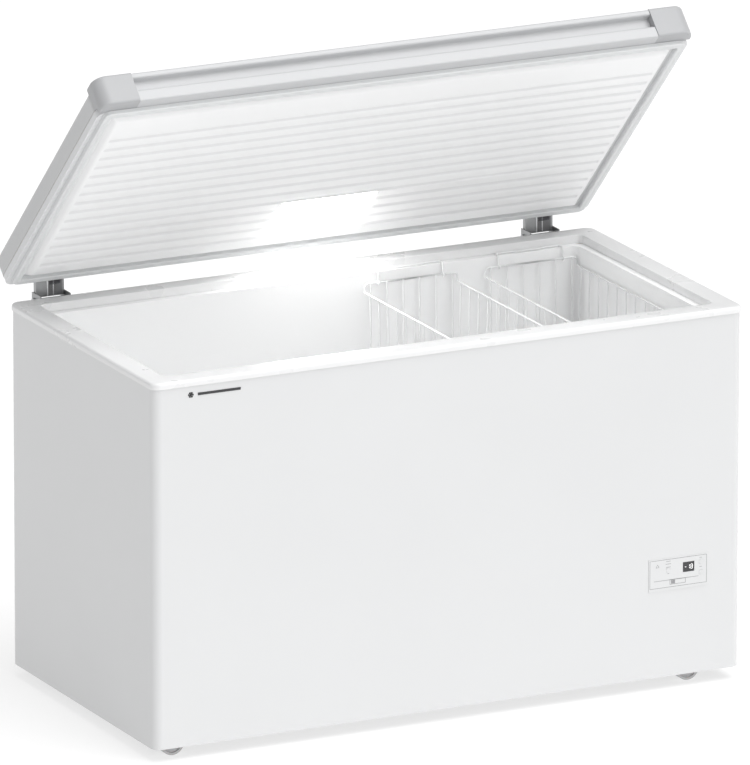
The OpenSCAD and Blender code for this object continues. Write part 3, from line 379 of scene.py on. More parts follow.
def rounded_loop(low: Pair, high: Pair, radius: float, z: float, arc: int = 8) -> list[Point]:
    """Closed loop round a rectangle with round corners.

    Args:
        low: least x and y.
        high: greatest x and y.
        radius: corner radius.
        z: height of the loop.
        arc: steps in each corner.

    Returns:
        Points, anticlockwise seen from above.
    """
    radius = max(min(radius, (high[0] - low[0]) / 2, (high[1] - low[1]) / 2), 1e-4)
    centres = [
        (high[0] - radius, high[1] - radius),
        (low[0] + radius, high[1] - radius),
        (low[0] + radius, low[1] + radius),
        (high[0] - radius, low[1] + radius),
    ]
    points: list[Point] = []
    for quarter, (cx, cy) in enumerate(centres):
        for k in range(arc + 1):
            angle = math.pi / 2 * (quarter + k / arc)
            points.append((cx + radius * math.cos(angle), cy + radius * math.sin(angle), z))
    return points


def bent(path: Loop, radius: float, steps: int = 5) -> list[Vector]:
    """Path with each inner corner rounded.

    Args:
        path: corner points.
        radius: bend radius.
        steps: points along each bend.

    Returns:
        The rounded path.
    """
    corners = [Vector(p) for p in path]
    out = [corners[0]]
    for before, here, after in zip(corners, corners[1:], corners[2:]):
        back, ahead = (before - here), (after - here)
        reach = min(radius, back.length * 0.49, ahead.length * 0.49)
        start, end = here + back.normalized() * reach, here + ahead.normalized() * reach
        for k in range(steps + 1):
            t = k / steps
            out.append(start * (1 - t) ** 2 + here * 2 * t * (1 - t) + end * t**2)
    out.append(corners[-1])
    return out


def profile_arc(cx: float, cz: float, radius: float, start: float, end: float, steps: int = 6) -> list[Pair]:
    """Points of an arc in a profile, angles in degrees."""
    angles = [math.radians(start + (end - start) * k / steps) for k in range(steps + 1)]
    return [(cx + radius * math.cos(a), cz + radius * math.sin(a)) for a in angles]


def size_of(node: str) -> tuple[Vector, Vector]:
    """Lowest and highest corner of a CAD node as vectors."""
    low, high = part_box(node)
    return Vector(low), Vector(high)


def half_size(node: str) -> Point:
    """Half of a CAD node's width, depth and height, to a hundredth of a millimetre."""
    low, high = size_of(node)
    width, depth, height = (round(c, 5) for c in (high - low) / 2)
    return width, depth, height


def joint_row(name: str) -> dict:
    """The frame's row for a joint."""
    return next(j for j in frame["joints"] if j["name"] == name)


def settle(piece: bpy.types.Object, body: Body, slot: Slot, *nodes: str) -> bpy.types.Object:
    """Lets a piece ride a body and hides the CAD nodes that it stands for.

    Args:
        piece: the finished piece.
        body: the body that it rides.
        slot: the record's material slot; not used.
        nodes: CAD nodes that it replaces.

    Returns:
        The same piece.
    """
    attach(piece, body.value)
    if nodes:
        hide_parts(*nodes)
    return piece


# ------ cabinet


@dataclass
class Cabinet:
    """The cabinet's collar and badge."""

    nose: float = 0.006
    top_width: float = 0.043
    drop: float = 0.017
    thick: float = 0.003
    corner: float = 0.018
    inner_corner: float = 0.014
    overhang: float = 0.0025
    rise: float = 0.0137
    edge: float = 0.0015
    wrap: float = 0.0045
    print_gap: float = 0.010
    bar_w: float = 0.0052
    half: Point = field(init=False)
    mid_y: float = field(init=False)
    top: float = field(init=False)

    def __post_init__(self) -> None:
        """Takes the casing's size and the collar's place from the frame."""
        self.half = half_size("outer_casing")
        low, high = size_of("top_collar")
        self.mid_y = (low.y + high.y) / 2
        self.top = high.z

    def ring(self, inset: float, z: float) -> list[Point]:
        """Loop round the cabinet, inset from the casing's outer face."""
        half_w, half_d = self.half[0] - inset, self.half[1] - inset
        corner = self.corner - inset if inset < self.nose else self.inner_corner
        return rounded_loop((-half_w, self.mid_y - half_d), (half_w, self.mid_y + half_d), corner, z)

    def collar(self) -> bpy.types.Object:
        """Builds the collar: round nose, flat top, step to the basket ledge.

        Returns:
            The collar's object.
        """
        foot = -self.drop + 0.0003
        outer, inner = -self.overhang, self.top_width - self.thick
        profile: list[Pair] = [(self.wrap, -self.rise)]
        profile += [(outer + 0.001, -self.rise), (outer, -self.rise + 0.001)]
        profile += [(self.nose + outer + x, z - self.nose) for x, z in profile_arc(0, 0, self.nose, 180, 90)]
        profile += [(self.top_width - self.edge + x, z - self.edge)
                    for x, z in profile_arc(0, 0, self.edge, 90, 0, 4)]
        profile += [(self.top_width, foot + 0.002), (self.top_width + 0.0006, foot + 0.0006)]
        profile += [(self.top_width + 0.002, foot), (inner, foot)]
        profile += [(inner, -self.thick), (self.wrap, -self.thick)]
        maker = MeshMaker()
        maker.loft([self.ring(a, self.top + z) for a, z in profile], ring=True)
        return settle(maker.object("collar", COLLAR_PLASTIC), Body.CABINET, Slot.WHITE_PLASTIC, "top_collar")

    def badge(self) -> bpy.types.Object:
        """Builds a plain printed mark: a snow crystal and a bar.

        Returns:
            The badge's object.
        """
        low, high = size_of("front_badge")
        middle = (low + high) / 2
        maker = MeshMaker()
        size = (high.z - low.z) / 2
        centre = Vector((low.x + size + 0.001, middle.y, middle.z))
        thick = high.y - low.y
        for k in range(3):
            angle = math.pi * k / 3
            along = Vector((math.cos(angle), 0, math.sin(angle)))
            strip(maker, centre - along * size, centre + along * size, 0.0018, thick)
            for side in (-1, 1):
                knot = centre + along * side * size * 0.55
                for turn in (-1, 1):
                    twig = Matrix.Rotation(turn * math.radians(50), 3, "Y") @ (along * side)
                    strip(maker, knot, knot + twig * size * 0.42, 0.0014, thick)
        start = Vector((low.x + 2 * size + self.print_gap, middle.y, middle.z))
        strip(maker, start, Vector((high.x, middle.y, middle.z)), self.bar_w, thick)
        return settle(maker.object("badge", BADGE_INK), Body.CABINET, Slot.BADGE, "front_badge")


def hinge_springs() -> bpy.types.Object:
    """Builds the two coil springs in the place of the CAD springs.

    Returns:
        The springs' object.
    """
    low, high = size_of("hinge_springs")
    wire, radius, turns, steps = 0.0011, 0.007, 9, 24
    middle = (low.y + high.y) / 2
    foot, head = low.z + wire, high.z - wire
    maker = MeshMaker()
    for centre in (low.x + radius + wire, high.x - radius - wire):
        path = []
        for k in range(turns * steps + 1):
            angle = 2 * math.pi * k / steps
            z = foot + (head - foot) * k / (turns * steps)
            path.append(Vector((centre + radius * math.cos(angle), middle + radius * math.sin(angle), z)))
        maker.tube(path, wire, 8)
    piece = maker.object("springs", SPRING_STEEL, smooth=60.0)
    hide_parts("hinge_springs")
    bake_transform(piece)
    return piece


def strip(maker: MeshMaker, start: Vector, end: Vector, width: float, thick: float) -> None:
    """Adds a flat bar that stands on the cabinet's front.

    Args:
        maker: the mesh that it joins.
        start: middle of one end.
        end: middle of the other end.
        width: width of the bar across its run.
        thick: height of the bar off the front.
    """
    along = (end - start).normalized()
    across = along.cross(Vector((0, 1, 0))).normalized() * width / 2
    off = Vector((0, thick / 2, 0))
    loops = [[p - across - off, p + across - off, p + across + off, p - across + off] for p in (start, end)]
    maker.loft(loops, caps=True)


# ------ lid


@dataclass
class Lid:
    """The lid's underside, handle and lamp, built shut and turned to stand open."""

    seat_back: float = 0.0455
    seat_up: float = 0.0149
    seal_depth: float = 0.632
    seal_w: float = 0.016
    seal_h: float = 0.010
    gap: float = 0.006
    slope: float = 0.012
    panel_depth: float = 0.0102
    handle_back: float = 0.630
    handle_depth: float = 0.027
    handle_h: float = 0.0646
    grip_h: float = 0.026
    grip_d: float = 0.016
    lip_h: float = 0.013
    pan_corner: float = 0.022
    grooves: int = 15
    groove_pitch: float = 0.0329
    groove_first: float = 0.0672
    groove_depth: float = 0.0025
    groove_w: float = 0.0055
    groove_end: float = 0.001
    groove_fade: float = 0.008
    # Share of the groove depth past which groove faces take the painted shade.
    groove_shade_share: float = 0.35
    sheet: float = 0.0015
    lamp_gap: float = 0.0004
    lamp_d: float = 0.130
    lamp_rear: float = 0.062
    half_w: float = field(init=False)
    seal_half_w: float = field(init=False)
    handle_half: float = field(init=False)
    lamp_half: float = field(init=False)
    place: Matrix = field(init=False)

    def __post_init__(self) -> None:
        """Takes widths from the frame and works out the matrix from the shut lid to the open one."""
        self.half_w = half_size("lid_pan")[0]
        self.seal_half_w = half_size("lid_gasket")[0]
        self.handle_half = half_size("handle_profile")[0]
        self.lamp_half = half_size("lamp_lens")[0]
        hinge = joint_row("lid_hinge")
        turn = Matrix.Rotation(math.radians(hinge["range_deg"][0]), 4, "X")
        seat = Matrix.Translation((0, -self.seat_back, self.seat_up))
        self.place = Matrix.Translation(hinge["pos_m"]) @ turn @ seat

    def ring(self, inset: float, z: float, corner: float) -> list[Point]:
        """Loop round the seal's outline, inset from its outer edge."""
        half, depth = self.seal_half_w - inset, self.seal_depth
        return rounded_loop((-half, -depth + inset), (half, -inset), max(corner - inset, 0.003), z)

    def gasket(self) -> bpy.types.Object:
        """Builds the seal: a soft tube on a foot with a groove along it.

        Returns:
            The gasket's object.
        """
        w, h, bulb = self.seal_w, self.seal_h, 0.0032
        profile: list[Pair] = [(0.0, h - 0.0005), (0.0012, 0.006), (0.0004, 0.0042)]
        profile += [(bulb + x, bulb + z) for x, z in profile_arc(0, 0, bulb, 180, 270, 5)]
        profile += [(w / 2 - 0.0016, 0.0), (w / 2, 0.0007), (w / 2 + 0.0016, 0.0)]
        profile += [(w - bulb + x, bulb + z) for x, z in profile_arc(0, 0, bulb, 270, 360, 5)]
        profile += [(w - 0.0004, 0.0042), (w - 0.0012, 0.006), (w, h - 0.0005)]
        maker = MeshMaker()
        maker.loft([self.ring(a, z, 0.014) for a, z in profile], ring=True)
        piece = maker.object("gasket", GASKET_VINYL, place=self.place, smooth=50.0)
        return settle(piece, Body.LID, Slot.GASKET, "lid_gasket")

    def groove(self, v: float) -> float:
        """Depth of the pressed grooves at a distance from the seal's rear edge."""
        last = self.groove_first + (self.grooves - 1) * self.groove_pitch
        if v < self.groove_first - self.groove_pitch / 2 or v > last + self.groove_pitch / 2:
            return 0.0
        phase = (v - self.groove_first) / self.groove_pitch
        offset = abs(phase - round(phase)) * self.groove_pitch
        return self.groove_depth * math.exp(-((offset / self.groove_w) ** 2))

    def panel_height(self, x: float, v: float) -> float:
        """Height of the inner panel's face over the seal's lower plane.

        Args:
            x: distance from the lid's middle.
            v: distance from the seal's rear edge.

        Returns:
            Height in metres; the panel's rim stands at the frame.
        """
        inset = self.seal_w + self.gap
        edge = min(self.seal_half_w - inset - abs(x), v - inset, self.seal_depth - inset - v)
        rise = self.panel_depth * smooth_step(1.0 - max(edge, 0.0) / self.slope)
        ends = self.seal_half_w - inset - self.slope - self.groove_end - abs(x)
        return rise + self.groove(v) * smooth_step(ends / self.groove_fade)

    def inner_panel(self) -> bpy.types.Object:
        """Builds the pressed inner panel with a window for the lamp, and painted shade in its grooves.

        Returns:
            The panel's object.
        """
        inset = self.seal_w + self.gap
        half = self.seal_half_w - inset
        edge_steps = [self.slope * k / 8 for k in range(9)]
        ends = [half - self.slope - self.groove_end - self.groove_fade * k / 4 for k in range(5)]
        lamp_half = self.lamp_half + self.lamp_gap
        xs = {round(half - e, 6) for e in edge_steps} | {round(e, 6) for e in ends}
        xs |= {round(lamp_half, 6), 0.0}
        xs |= {-x for x in xs}
        vs = {round(inset + e, 6) for e in edge_steps}
        vs |= {round(self.seal_depth - inset - e, 6) for e in edge_steps}
        fine = 0.0013
        start = self.groove_first - self.groove_pitch / 2
        end = start + self.grooves * self.groove_pitch
        vs |= {round(start + fine * k, 6) for k in range(int((end - start) / fine) + 1)}
        lamp_low = self.lamp_rear - self.lamp_gap
        lamp_high = self.lamp_rear + self.lamp_d + self.lamp_gap
        vs = {v for v in vs if min(abs(v - lamp_low), abs(v - lamp_high)) > 2 * self.lamp_gap}
        vs |= {lamp_low, lamp_high}
        columns, rows = sorted(xs), sorted(vs)
        points = [(x, -v, self.panel_height(x, v)) for v in rows for x in columns]
        faces = []
        for i, (v0, v1) in enumerate(zip(rows, rows[1:])):
            for k, (x0, x1) in enumerate(zip(columns, columns[1:])):
                middle_x, middle_v = (x0 + x1) / 2, (v0 + v1) / 2
                if abs(middle_x) < lamp_half and lamp_low < middle_v < lamp_high:
                    continue
                a = i * len(columns) + k
                faces.append((a, a + 1, a + 1 + len(columns), a + len(columns)))
        maker = MeshMaker()
        maker.add(points, faces)
        piece = maker.object("inner_panel", PANEL_PLASTIC, smooth=60.0)
        piece.data.materials.append(PANEL_GROOVE_SHADE.make())
        # Faces deep in a groove on the panel's flat part take the darker finish: painted shade in the grooves.
        shade_level = self.groove_shade_share * self.groove_depth
        for face in piece.data.polygons:
            flat = abs(face.center.x) < half - self.slope
            deep = face.center.z > shade_level and self.groove(-face.center.y) > shade_level
            face.material_index = int(flat and deep)
        up = piece.data.polygons[0].normal.z > 0
        piece.data.transform(self.place)
        thicken = piece.modifiers.new("sheet", "SOLIDIFY")
        thicken.thickness = self.sheet
        thicken.offset = 1.0 if up else -1.0
        apply_modifiers(piece)
        return settle(piece, Body.LID, Slot.LINER, "lid_inner_panel")

    def handle(self) -> bpy.types.Object:
        """Builds the extruded handle profile with its finger channel.

        Returns:
            The profile's object.
        """
        front = -self.handle_back - self.handle_depth
        base, top = self.seal_h, self.seal_h + self.handle_h
        lip = top - self.lip_h - self.grip_h
        inner = front + self.grip_d
        back = -self.handle_back
        outline: list[Pair] = [(back, base)]
        outline += corner_arc((front, base), 0.003, 270, 180)
        outline += corner_arc((front, lip), 0.005, 180, 90)
        outline += corner_arc((inner, lip), 0.004, 270, 360, 4)
        outline += corner_arc((inner, top - self.lip_h), 0.004, 0, 90, 4)
        outline += corner_arc((front, top - self.lip_h), 0.004, 270, 180)
        outline += corner_arc((front, top), 0.005, 180, 90)
        outline += corner_arc((back, top), 0.003, 90, 0)
        maker = MeshMaker()
        ends = (-self.handle_half, self.handle_half)
        maker.loft([[(x, y, z) for y, z in outline] for x in ends], caps=True)
        piece = maker.object("handle", HANDLE_PLASTIC, place=self.place, smooth=35.0)
        return settle(piece, Body.LID, Slot.HANDLE, "handle_profile")

    def cap(self, side: int) -> bpy.types.Object:
        """Builds the moulded cap on one end of the handle.

        Args:
            side: -1 for the left end, 1 for the right.

        Returns:
            The cap's object.
        """
        proud, r, edge, wall = 0.002, 0.027, 0.005, 0.0012
        frame_corner, frame_top = 0.006, 0.0225
        inner = self.handle_half + 0.0003
        outer = self.half_w
        front = -self.handle_back - self.handle_depth - proud
        back = -self.handle_back
        low, high = self.seal_h + 0.0002, self.seal_h + self.handle_h + 0.0006

        def outline(shrink: float, z: float, hug: float) -> list[Point]:
            """Cap's plan at a height, its edges drawn in and its back wrapped round the pan's corner."""
            points = [(inner, back), (inner, front + shrink)]
            cx, cy = outer - r, front + r
            for k in range(13):
                angle = math.radians(270 + 90 * k / 12)
                points.append((cx + (r - shrink) * math.cos(angle), cy + (r - shrink) * math.sin(angle)))
            reach = hug + 0.0003
            tip = math.acos(max(0.09, 1.0 - (2 * shrink + wall) / hug))
            points.append((outer - shrink, back + hug - reach * math.sin(tip)))
            for k in range(9):
                angle = -tip - (math.pi / 2 - tip) * k / 8
                points.append((outer - hug + reach * math.cos(angle), back + hug + reach * math.sin(angle)))
            return [(side * x, y, z) for x, y in points]

        foot_arc, head_arc = profile_arc(0, 0, edge, -90, 0, 5), profile_arc(0, 0, edge, 0, 90, 5)
        loops = [outline(edge - x, low + edge + z, frame_corner) for x, z in foot_arc]
        loops.append(outline(0.0, frame_top, frame_corner))
        loops.append(outline(0.0, frame_top + 0.001, self.pan_corner))
        loops += [outline(edge - x, high - edge + z, self.pan_corner) for x, z in head_arc]
        maker = MeshMaker()
        maker.loft(loops, caps=True)
        name = "cap_left" if side < 0 else "cap_right"
        piece = maker.object(name, CAP_PLASTIC, place=self.place, smooth=35.0)
        return settle(piece, Body.LID, Slot.CAP, "handle_cap_left" if side < 0 else "handle_cap_right")

    def hinge_marks(self, side: int) -> list[bpy.types.Object]:
        """Builds what shows on a hinge leaf: a dark plate of painted shade for the slot, bright strips of painted
        highlight for the ribs, and the end of the spring.

        Args:
            side: -1 for the left hinge, 1 for the right.

        Returns:
            The four objects.
        """
        low, high = size_of("hinge_leaf_left" if side < 0 else "hinge_leaf_right")
        middle = (low.x + high.x) / 2
        head, foot = Vector((0, 0.0128, 0.012)), Vector((0, 0.0375, -0.0129))
        along = (foot - head).normalized()
        out = Vector((0, -along.z, along.y)).normalized()
        out = out if out.y < 0 else -out
        pieces: list[bpy.types.Object] = []

        def plate(name: str, x0: float, x1: float, a: float, b: float, thick: float, finish: Finish,
                  slot: Slot) -> None:
            """Adds a thin plate on the leaf's face between two widths and two lengths."""
            maker = MeshMaker()
            loops = []
            for t in (a, b):
                base = head + along * t
                corners = [base + Vector((middle + x, 0, 0)) + out * h
                           for x, h in ((x0, 0.00005), (x1, 0.00005), (x1, thick), (x0, thick))]
                loops.append(corners)
            maker.loft(loops, caps=True)
            piece = maker.object(name, finish, place=self.place)
            pieces.append(settle(piece, Body.LID, slot))

        tag = "left" if side < 0 else "right"
        # Dark plate laid on the leaf where the slot is: painted shade.
        plate(f"leaf_slot_shade_{tag}", -0.004, 0.026, 0.001, 0.033, 0.0003, HINGE_SHADE, Slot.DARK_SHEET)
        # Raised strips along the leaf's ribs in the brighter copy of the zinc: painted highlight.
        plate(f"leaf_rib_highlight_{tag}", -0.0075, -0.0045, -0.001, 0.034, 0.0012, RIB_HIGHLIGHT_STEEL, Slot.ZINC)
        plate(f"leaf_inner_rib_highlight_{tag}", 0.006, 0.0078, 0.004, 0.033, 0.001, RIB_HIGHLIGHT_STEEL, Slot.ZINC)
        maker = MeshMaker()
        for k in range(4):
            base = head + along * (0.003 + 0.0026 * k) + out * 0.0013
            tilt = along * 0.0009
            ends = [base + Vector((middle - 0.002, 0, 0)) - tilt, base + Vector((middle + 0.010, 0, 0)),
                    base + Vector((middle + 0.022, 0, 0)) - tilt]
            maker.tube(ends, 0.0009, 8)
        piece = maker.object(f"leaf_spring_{tag}", SPRING_STEEL, place=self.place)
        pieces.append(settle(piece, Body.LID, Slot.SPRING))
        return pieces

    def lens(self) -> bpy.types.Object:
        """Builds the lamp's cover, drawn in at its edge.

        Returns:
            The lens object.
        """
        low, high = (-self.lamp_half, -self.lamp_rear - self.lamp_d), (self.lamp_half, -self.lamp_rear)
        maker = MeshMaker()
        loops = []
        for inset, z in ((0.0, 0.0037), (0.0, 0.0014), (0.001, 0.0006), (0.0035, 0.0002), (0.006, 0.0014),
                         (0.010, 0.0018)):
            loops.append(rounded_loop((low[0] + inset, low[1] + inset), (high[0] - inset, high[1] - inset),
                                      0.006, z))
        maker.loft(loops, caps=True)
        piece = maker.object("lens", LAMP_GLOW, place=self.place)
        return settle(piece, Body.LID, Slot.LENS, "lamp_lens")


def smooth_step(t: float) -> float:
    """Smooth ramp from 0 to 1."""
    t = min(max(t, 0.0), 1.0)
    return t * t * (3 - 2 * t)


def corner_arc(corner: Pair, r: float, start: float, end: float, steps: int = 5) -> list[Pair]:
    """Round of a profile's outer or inner corner; start and end give the arc's directions in degrees."""
    a, b = math.radians(start), math.radians(end)
    cx = corner[0] - r * (math.cos(a) + math.cos(b))
    cz = corner[1] - r * (math.sin(a) + math.sin(b))
    return profile_arc(cx, cz, r, start, end, steps)


def apply_modifiers(piece: bpy.types.Object) -> None:
    """Replaces the piece's mesh by what its modifiers make of it."""
    view = bpy.context.evaluated_depsgraph_get()
    done = bpy.data.meshes.new_from_object(piece.evaluated_get(view))
    piece.modifiers.clear()
    piece.data = done


# ------ baskets


@dataclass
class Basket:
    """One wire basket with its two handles."""

    node: str
    body: Body
    prefix: str
    rim_r: float = 0.002
    wire_r: float = 0.0016
    drop: float = 0.018
    side_wires: int = 13
    end_wires: int = 6
    side_margin: float = 0.022
    end_margin: float = 0.014
    inset: float = 0.002
    taper: float = 0.004
    shoulder: float = 0.006
    turn: float = 0.004
    run_out: float = 0.016
    eye: float = 0.0042
    wave: float = 0.0045
    low: Vector = field(init=False)
    high: Vector = field(init=False)

    def __post_init__(self) -> None:
        """Takes the basket's box from the frame."""
        self.low, self.high = size_of(self.node)

    def rim(self) -> list[Vector]:
        """Rim wire: end bars high, long sides low, with bends between them."""
        left, right = self.low.x + self.rim_r, self.high.x - self.rim_r
        front, back = self.low.y + self.rim_r, self.high.y - self.rim_r
        top = self.high.z - self.rim_r
        side = top - self.drop
        middle = (left + right) / 2
        quarter = [(middle, back, top), (right - self.shoulder, back, top), (right, back, top - self.turn),
                   (right, back, side), (right, back - self.run_out, side)]
        right_half = quarter + [(x, front + back - y, z) for x, y, z in reversed(quarter)]
        left_half = [(left + right - x, y, z) for x, y, z in reversed(right_half)]
        corners = right_half + left_half[1:]
        return bent(corners, 0.005, 4)

    def body_wires(self, maker: MeshMaker) -> None:
        """Adds the bent wires that run down one wall, under the floor and up the other."""
        bend = 0.012
        floor = self.low.z + self.wire_r
        gap, taper = self.rim_r + self.inset, self.taper
        left, right = self.low.x + gap, self.high.x - gap
        front, back = self.low.y + gap, self.high.y - gap
        room = self.high - self.low
        side_top = self.high.z - self.rim_r - self.drop
        for i in range(self.side_wires):
            y = self.low.y + self.side_margin + i * (room.y - 2 * self.side_margin) / (self.side_wires - 1)
            corners = [(left, y, side_top), (left + taper, y, floor), (right - taper, y, floor),
                       (right, y, side_top)]
            maker.tube(bent(corners, bend), self.wire_r, 8)
        for i in range(self.end_wires):
            x = self.low.x + self.end_margin + i * (room.x - 2 * self.end_margin) / (self.end_wires - 1)
            z = floor + 2 * self.wire_r - 0.0003
            top = self.high.z - self.rim_r
            corners = [(x, front, top), (x, front + taper, z), (x, back - taper, z), (x, back, top)]
            maker.tube(bent(corners, bend), self.wire_r, 8)

    def build(self) -> list[bpy.types.Object]:
        """Builds the basket and its handles.

        Returns:
            The three objects.
        """
        maker = MeshMaker()
        maker.tube(self.rim(), self.rim_r, 10)
        self.body_wires(maker)
        piece = maker.object(self.node + "_wire", WIRE_COAT, smooth=60.0)
        settle(piece, self.body, Slot.WIRE, self.node)
        return [piece, self.bail(-1), self.bail(1)]

    def bail(self, end: int) -> bpy.types.Object:
        """Builds one handle: eyes round the end bar, legs, and a wavy bar on the ledge.

        Args:
            end: -1 for the front end, 1 for the rear.

        Returns:
            The handle's object.
        """
        node = f"{self.prefix}_basket_{'front' if end < 0 else 'rear'}_handle"
        low, high = size_of(node)
        r = self.rim_r
        x0, x1 = low.x + r + 0.0005, high.x - r - 0.0005
        bar = high.z - r
        pivot_z = self.high.z - r
        pivot_y = (self.high.y - r) if end > 0 else (self.low.y + r)
        out = (high.y - r) if end > 0 else (low.y + r)
        middle, width, dip = (x0 + x1) / 2, x1 - x0, out - end * self.wave

        def leg(x: float) -> list[Point]:
            """Leg from the eye up and out to the ledge."""
            angles = [math.radians(d) for d in (-150, -90, -30, 30, 90, 150)]
            loop = [(x, pivot_y + end * self.eye * math.sin(a), pivot_z - self.eye * math.cos(a))
                    for a in angles]
            stem = pivot_y + end * r
            return loop + [(x, stem, pivot_z + 0.006), (x, stem, bar), (x, out, bar)]

        grip = [(middle - width * 0.26, out, bar), (middle - width * 0.2, dip, bar),
                (middle + width * 0.2, dip, bar), (middle + width * 0.26, out, bar)]
        path = leg(x0) + grip + list(reversed(leg(x1)))
        maker = MeshMaker()
        maker.tube(bent(path, 0.0045, 4), r, 10)
        piece = maker.object(node + "_wire", WIRE_COAT, smooth=60.0)
        body = next(b for b, nodes in frame["record"]["behaviour"]["bodies"].items() if node in nodes)
        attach(piece, body)
        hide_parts(node)
        return piece


# ------ control panel


@dataclass
class ControlPanel:
    """Printed marks and digits of the control panel."""

    line: float = 0.0009
    ink: float = 0.00012
    foot: Pair = (-0.063, -0.0266)
    head: Pair = (0.063, 0.0305)
    divider: tuple[float, float, float] = (-0.054, 0.045, -0.012)
    status_x: Pair = (-0.0185, 0.016)
    status_foot: float = -0.0215
    lit: tuple[float, float, float] = (-0.0115, -0.0205, -0.013)
    lit_w: float = 0.009
    warning: Pair = (-0.046, 0.018)
    warning_r: float = 0.004
    warning_w: float = 0.0008
    labels_x: float = -0.022
    labels: tuple[Pair, ...] = (
        (0.005, 0.0265), (0.006, 0.021), (0.005, 0.0146), (0.002, 0.0046), (0.002, 0.001)
    )
    key_x: Pair = (0.047, 0.0525)
    key_rows: tuple[float, ...] = (0.0255, 0.0065, -0.0065)
    low: Vector = field(init=False)
    high: Vector = field(init=False)

    def __post_init__(self) -> None:
        """Takes the fascia's box from the frame."""
        self.low, self.high = size_of("control_fascia")

    def stroke(self, maker: MeshMaker, start: Pair, end: Pair, width: float) -> None:
        """Adds a printed stroke between two places on the fascia.

        Args:
            maker: the mesh that it joins.
            start: x and z from the fascia's middle.
            end: x and z from the fascia's middle.
            width: stroke width.
        """
        middle = (self.low + self.high) / 2
        y = self.low.y - self.ink / 2 + 0.00002
        a = Vector((middle.x + start[0], y, middle.z + start[1]))
        b = Vector((middle.x + end[0], y, middle.z + end[1]))
        strip(maker, a, b, width, self.ink)

    def outline(self, maker: MeshMaker, low: Pair, high: Pair) -> None:
        """Adds a printed rectangle between its lowest and highest corner."""
        corners = [low, (high[0], low[1]), high, (low[0], high[1])]
        for start, end in zip(corners, corners[1:] + corners[:1]):
            self.stroke(maker, start, end, self.line)

    def frame_marks(self) -> bpy.types.Object:
        """Builds the printed outline, divider, key marks and status box."""
        maker = MeshMaker()
        self.outline(maker, self.foot, self.head)
        left, right, divider = self.divider
        self.stroke(maker, (left, divider), (right, divider), self.line)
        self.outline(maker, (self.status_x[0], self.status_foot), (self.status_x[1], divider))
        x, low, high = self.lit
        self.stroke(maker, (x, low), (x, high), self.lit_w)
        angles = [math.radians(90 + 120 * k) for k in range(3)]
        x, z, r = *self.warning, self.warning_r
        corners = [(x + r * math.cos(a), z + r * math.sin(a)) for a in angles]
        for start, end in zip(corners, corners[1:] + corners[:1]):
            self.stroke(maker, start, end, self.warning_w)
        for half, z in self.labels:
            self.stroke(maker, (self.labels_x - half, z), (self.labels_x + half, z), self.line)
        for z in self.key_rows:
            self.stroke(maker, (self.key_x[0], z), (self.key_x[1], z), self.line)
        piece = maker.object("fascia_print", PRINT_INK)
        return settle(piece, Body.CABINET, Slot.BADGE)

    def digits(self) -> bpy.types.Object:
        """Builds the lit minus sign and two digits in the display."""
        low, high = size_of("display_window")
        middle = (low + high) / 2
        maker = MeshMaker()
        y = low.y - 0.00005
        tall, wide, stroke = 0.0045, 0.0042, 0.0009
        segments = {"-": "g", "1": "bc", "8": "abcdefg"}
        ends: dict[str, tuple[Pair, Pair]] = {
            "a": ((-1, 1), (1, 1)), "b": ((1, 1), (1, 0)), "c": ((1, 0), (1, -1)), "d": ((-1, -1), (1, -1)),
            "e": ((-1, -1), (-1, 0)), "f": ((-1, 0), (-1, 1)), "g": ((-1, 0), (1, 0)),
        }
        for place, sign in enumerate("-18"):
            cx = middle.x + (place - 1) * 0.0068
            for part in segments[sign]:
                (ax, az), (bx, bz) = ends[part]
                a = Vector((cx + ax * wide / 2, y, middle.z + az * tall))
                b = Vector((cx + bx * wide / 2, y, middle.z + bz * tall))
                pull = (b - a).normalized() * 0.0005
                strip(maker, a + pull, b - pull, stroke, 0.0002)
        piece = maker.object("display_digits", DIGIT_GLOW)
        return settle(piece, Body.CABINET, Slot.GLASS)


# ------ studio


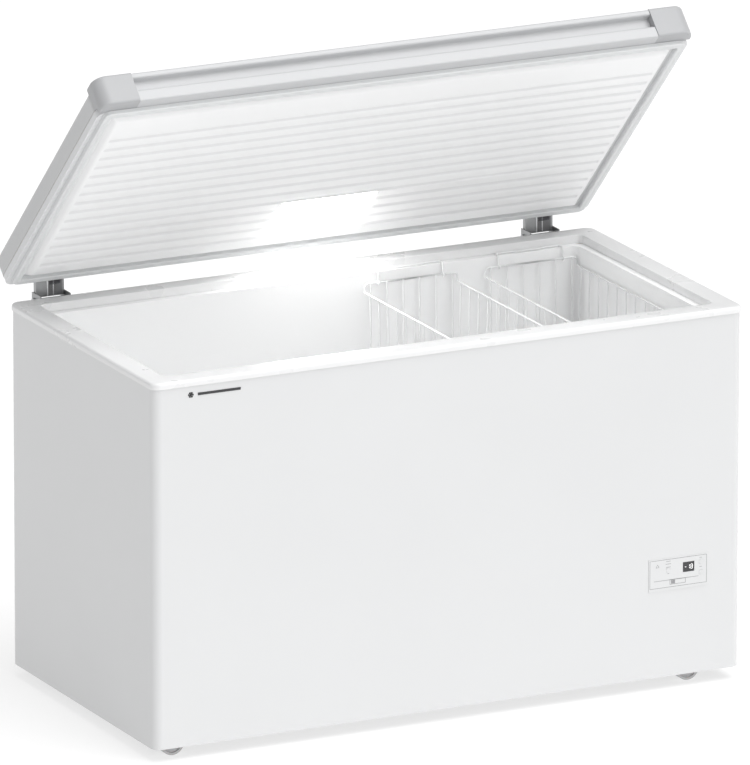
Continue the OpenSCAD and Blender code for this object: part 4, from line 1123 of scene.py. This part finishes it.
@dataclass(frozen=True)
class Studio:
    """Pale floor, soft lights and the camera."""

    azimuth: float = -26.36
    elevation: float = 15.91
    roll: float = 0.068
    distance: float = 27.6
    focal: float = 658.8
    sensor: float = 36.0
    aim: Point = (-0.0026, -0.0305, 0.6065)
    sky: float = 0.42
    key: float = 2.1
    key_from: Point = (0.2, -0.3, 0.93)
    fill: float = 0.95
    fill_from: Point = (0.3, -1.0, 0.25)
    key_spread: float = 50.0
    fill_spread: float = 60.0
    floor_half: float = 60.0
    floor_drop: float = 0.0005

    def camera(self) -> bpy.types.Object:
        """Places the long-lens camera and makes it the scene's camera.

        Returns:
            The camera's object.
        """
        data = bpy.data.cameras.new("camera")
        data.lens = self.focal
        data.sensor_width = self.sensor
        data.clip_end = 200.0
        camera = bpy.data.objects.new("camera", data)
        bpy.context.scene.collection.objects.link(camera)
        a, e = math.radians(self.azimuth), math.radians(self.elevation)
        back = Vector((math.sin(a) * math.cos(e), -math.cos(a) * math.cos(e), math.sin(e)))
        camera.location = Vector(self.aim) + back * self.distance
        look = (-back).to_track_quat("-Z", "Y").to_matrix().to_4x4()
        camera.matrix_world = (
            Matrix.Translation(camera.location) @ look @ Matrix.Rotation(math.radians(self.roll), 4, "Z")
        )
        bpy.context.scene.camera = camera
        return camera

    def floor(self) -> None:
        """Lays a plain pale floor."""
        maker = MeshMaker()
        half = self.floor_half
        maker.add([(-half, -half, 0), (half, -half, 0), (half, half, 0), (-half, half, 0)], [(0, 1, 2, 3)])
        finish = Finish("studio_floor", (0.36, 0.36, 0.36), 0.9, specular=0.0, drift=0.0, grain=0.0, wear=0.0,
                        emission=0.68)
        piece = maker.object("studio_floor", finish)
        piece.location.z = -self.floor_drop

    def lights(self) -> None:
        """Adds the sky, the broad key light and a weak fill."""
        world = bpy.data.worlds.new("studio")
        bpy.context.scene.world = world
        world.use_nodes = True
        sky = world.node_tree.nodes["Background"]
        sky.inputs["Color"].default_value = (1.0, 1.0, 1.0, 1.0)
        sky.inputs["Strength"].default_value = self.sky
        self._sun("key", self.key_from, self.key, self.key_spread)
        self._sun("fill", self.fill_from, self.fill, self.fill_spread)

    def _sun(self, name: str, toward: Point, strength: float, spread: float) -> None:
        """Adds one soft distant light.

        Args:
            name: the light's name.
            toward: direction towards the light.
            strength: its strength.
            spread: its apparent width in degrees.
        """
        data = bpy.data.lights.new(name, "SUN")
        data.energy = strength
        data.angle = math.radians(spread)
        light = bpy.data.objects.new(name, data)
        light.rotation_euler = Vector(toward).to_track_quat("Z", "Y").to_euler()
        bpy.context.scene.collection.objects.link(light)

    def build(self) -> None:
        """Sets up the whole studio."""
        bpy.context.scene.view_settings.view_transform = "Standard"
        self.camera()
        self.floor()
        self.lights()


def dress_cad_nodes() -> None:
    """Gives every CAD node the finish of its material slot."""
    slots = {s["node"]: s["material_slot"] for s in frame["record"]["subparts"]}
    for name, node in frame["nodes"].items():
        finish = NODE_FINISHES.get(name, CAD_FINISHES[slots[name]])
        if not node.material_slots:
            node.data.materials.append(None)
        for material_slot in node.material_slots:
            material_slot.material = finish.make()
    log.info("dressed %d CAD nodes", len(frame["nodes"]))


def main() -> None:
    """Builds the studio, the finishes and every detailed piece."""
    Studio().build()
    dress_cad_nodes()
    cabinet = Cabinet()
    cabinet.collar()
    cabinet.badge()
    hinge_springs()
    lid = Lid()
    lid.gasket()
    lid.inner_panel()
    lid.handle()
    lid.lens()
    for side in (-1, 1):
        lid.cap(side)
        lid.hinge_marks(side)
    Basket("basket_left", Body.BASKET_LEFT, "left").build()
    Basket("basket_right", Body.BASKET_RIGHT, "right").build()
    panel = ControlPanel()
    panel.frame_marks()
    panel.digits()


if __name__ == "__main__":
    main()
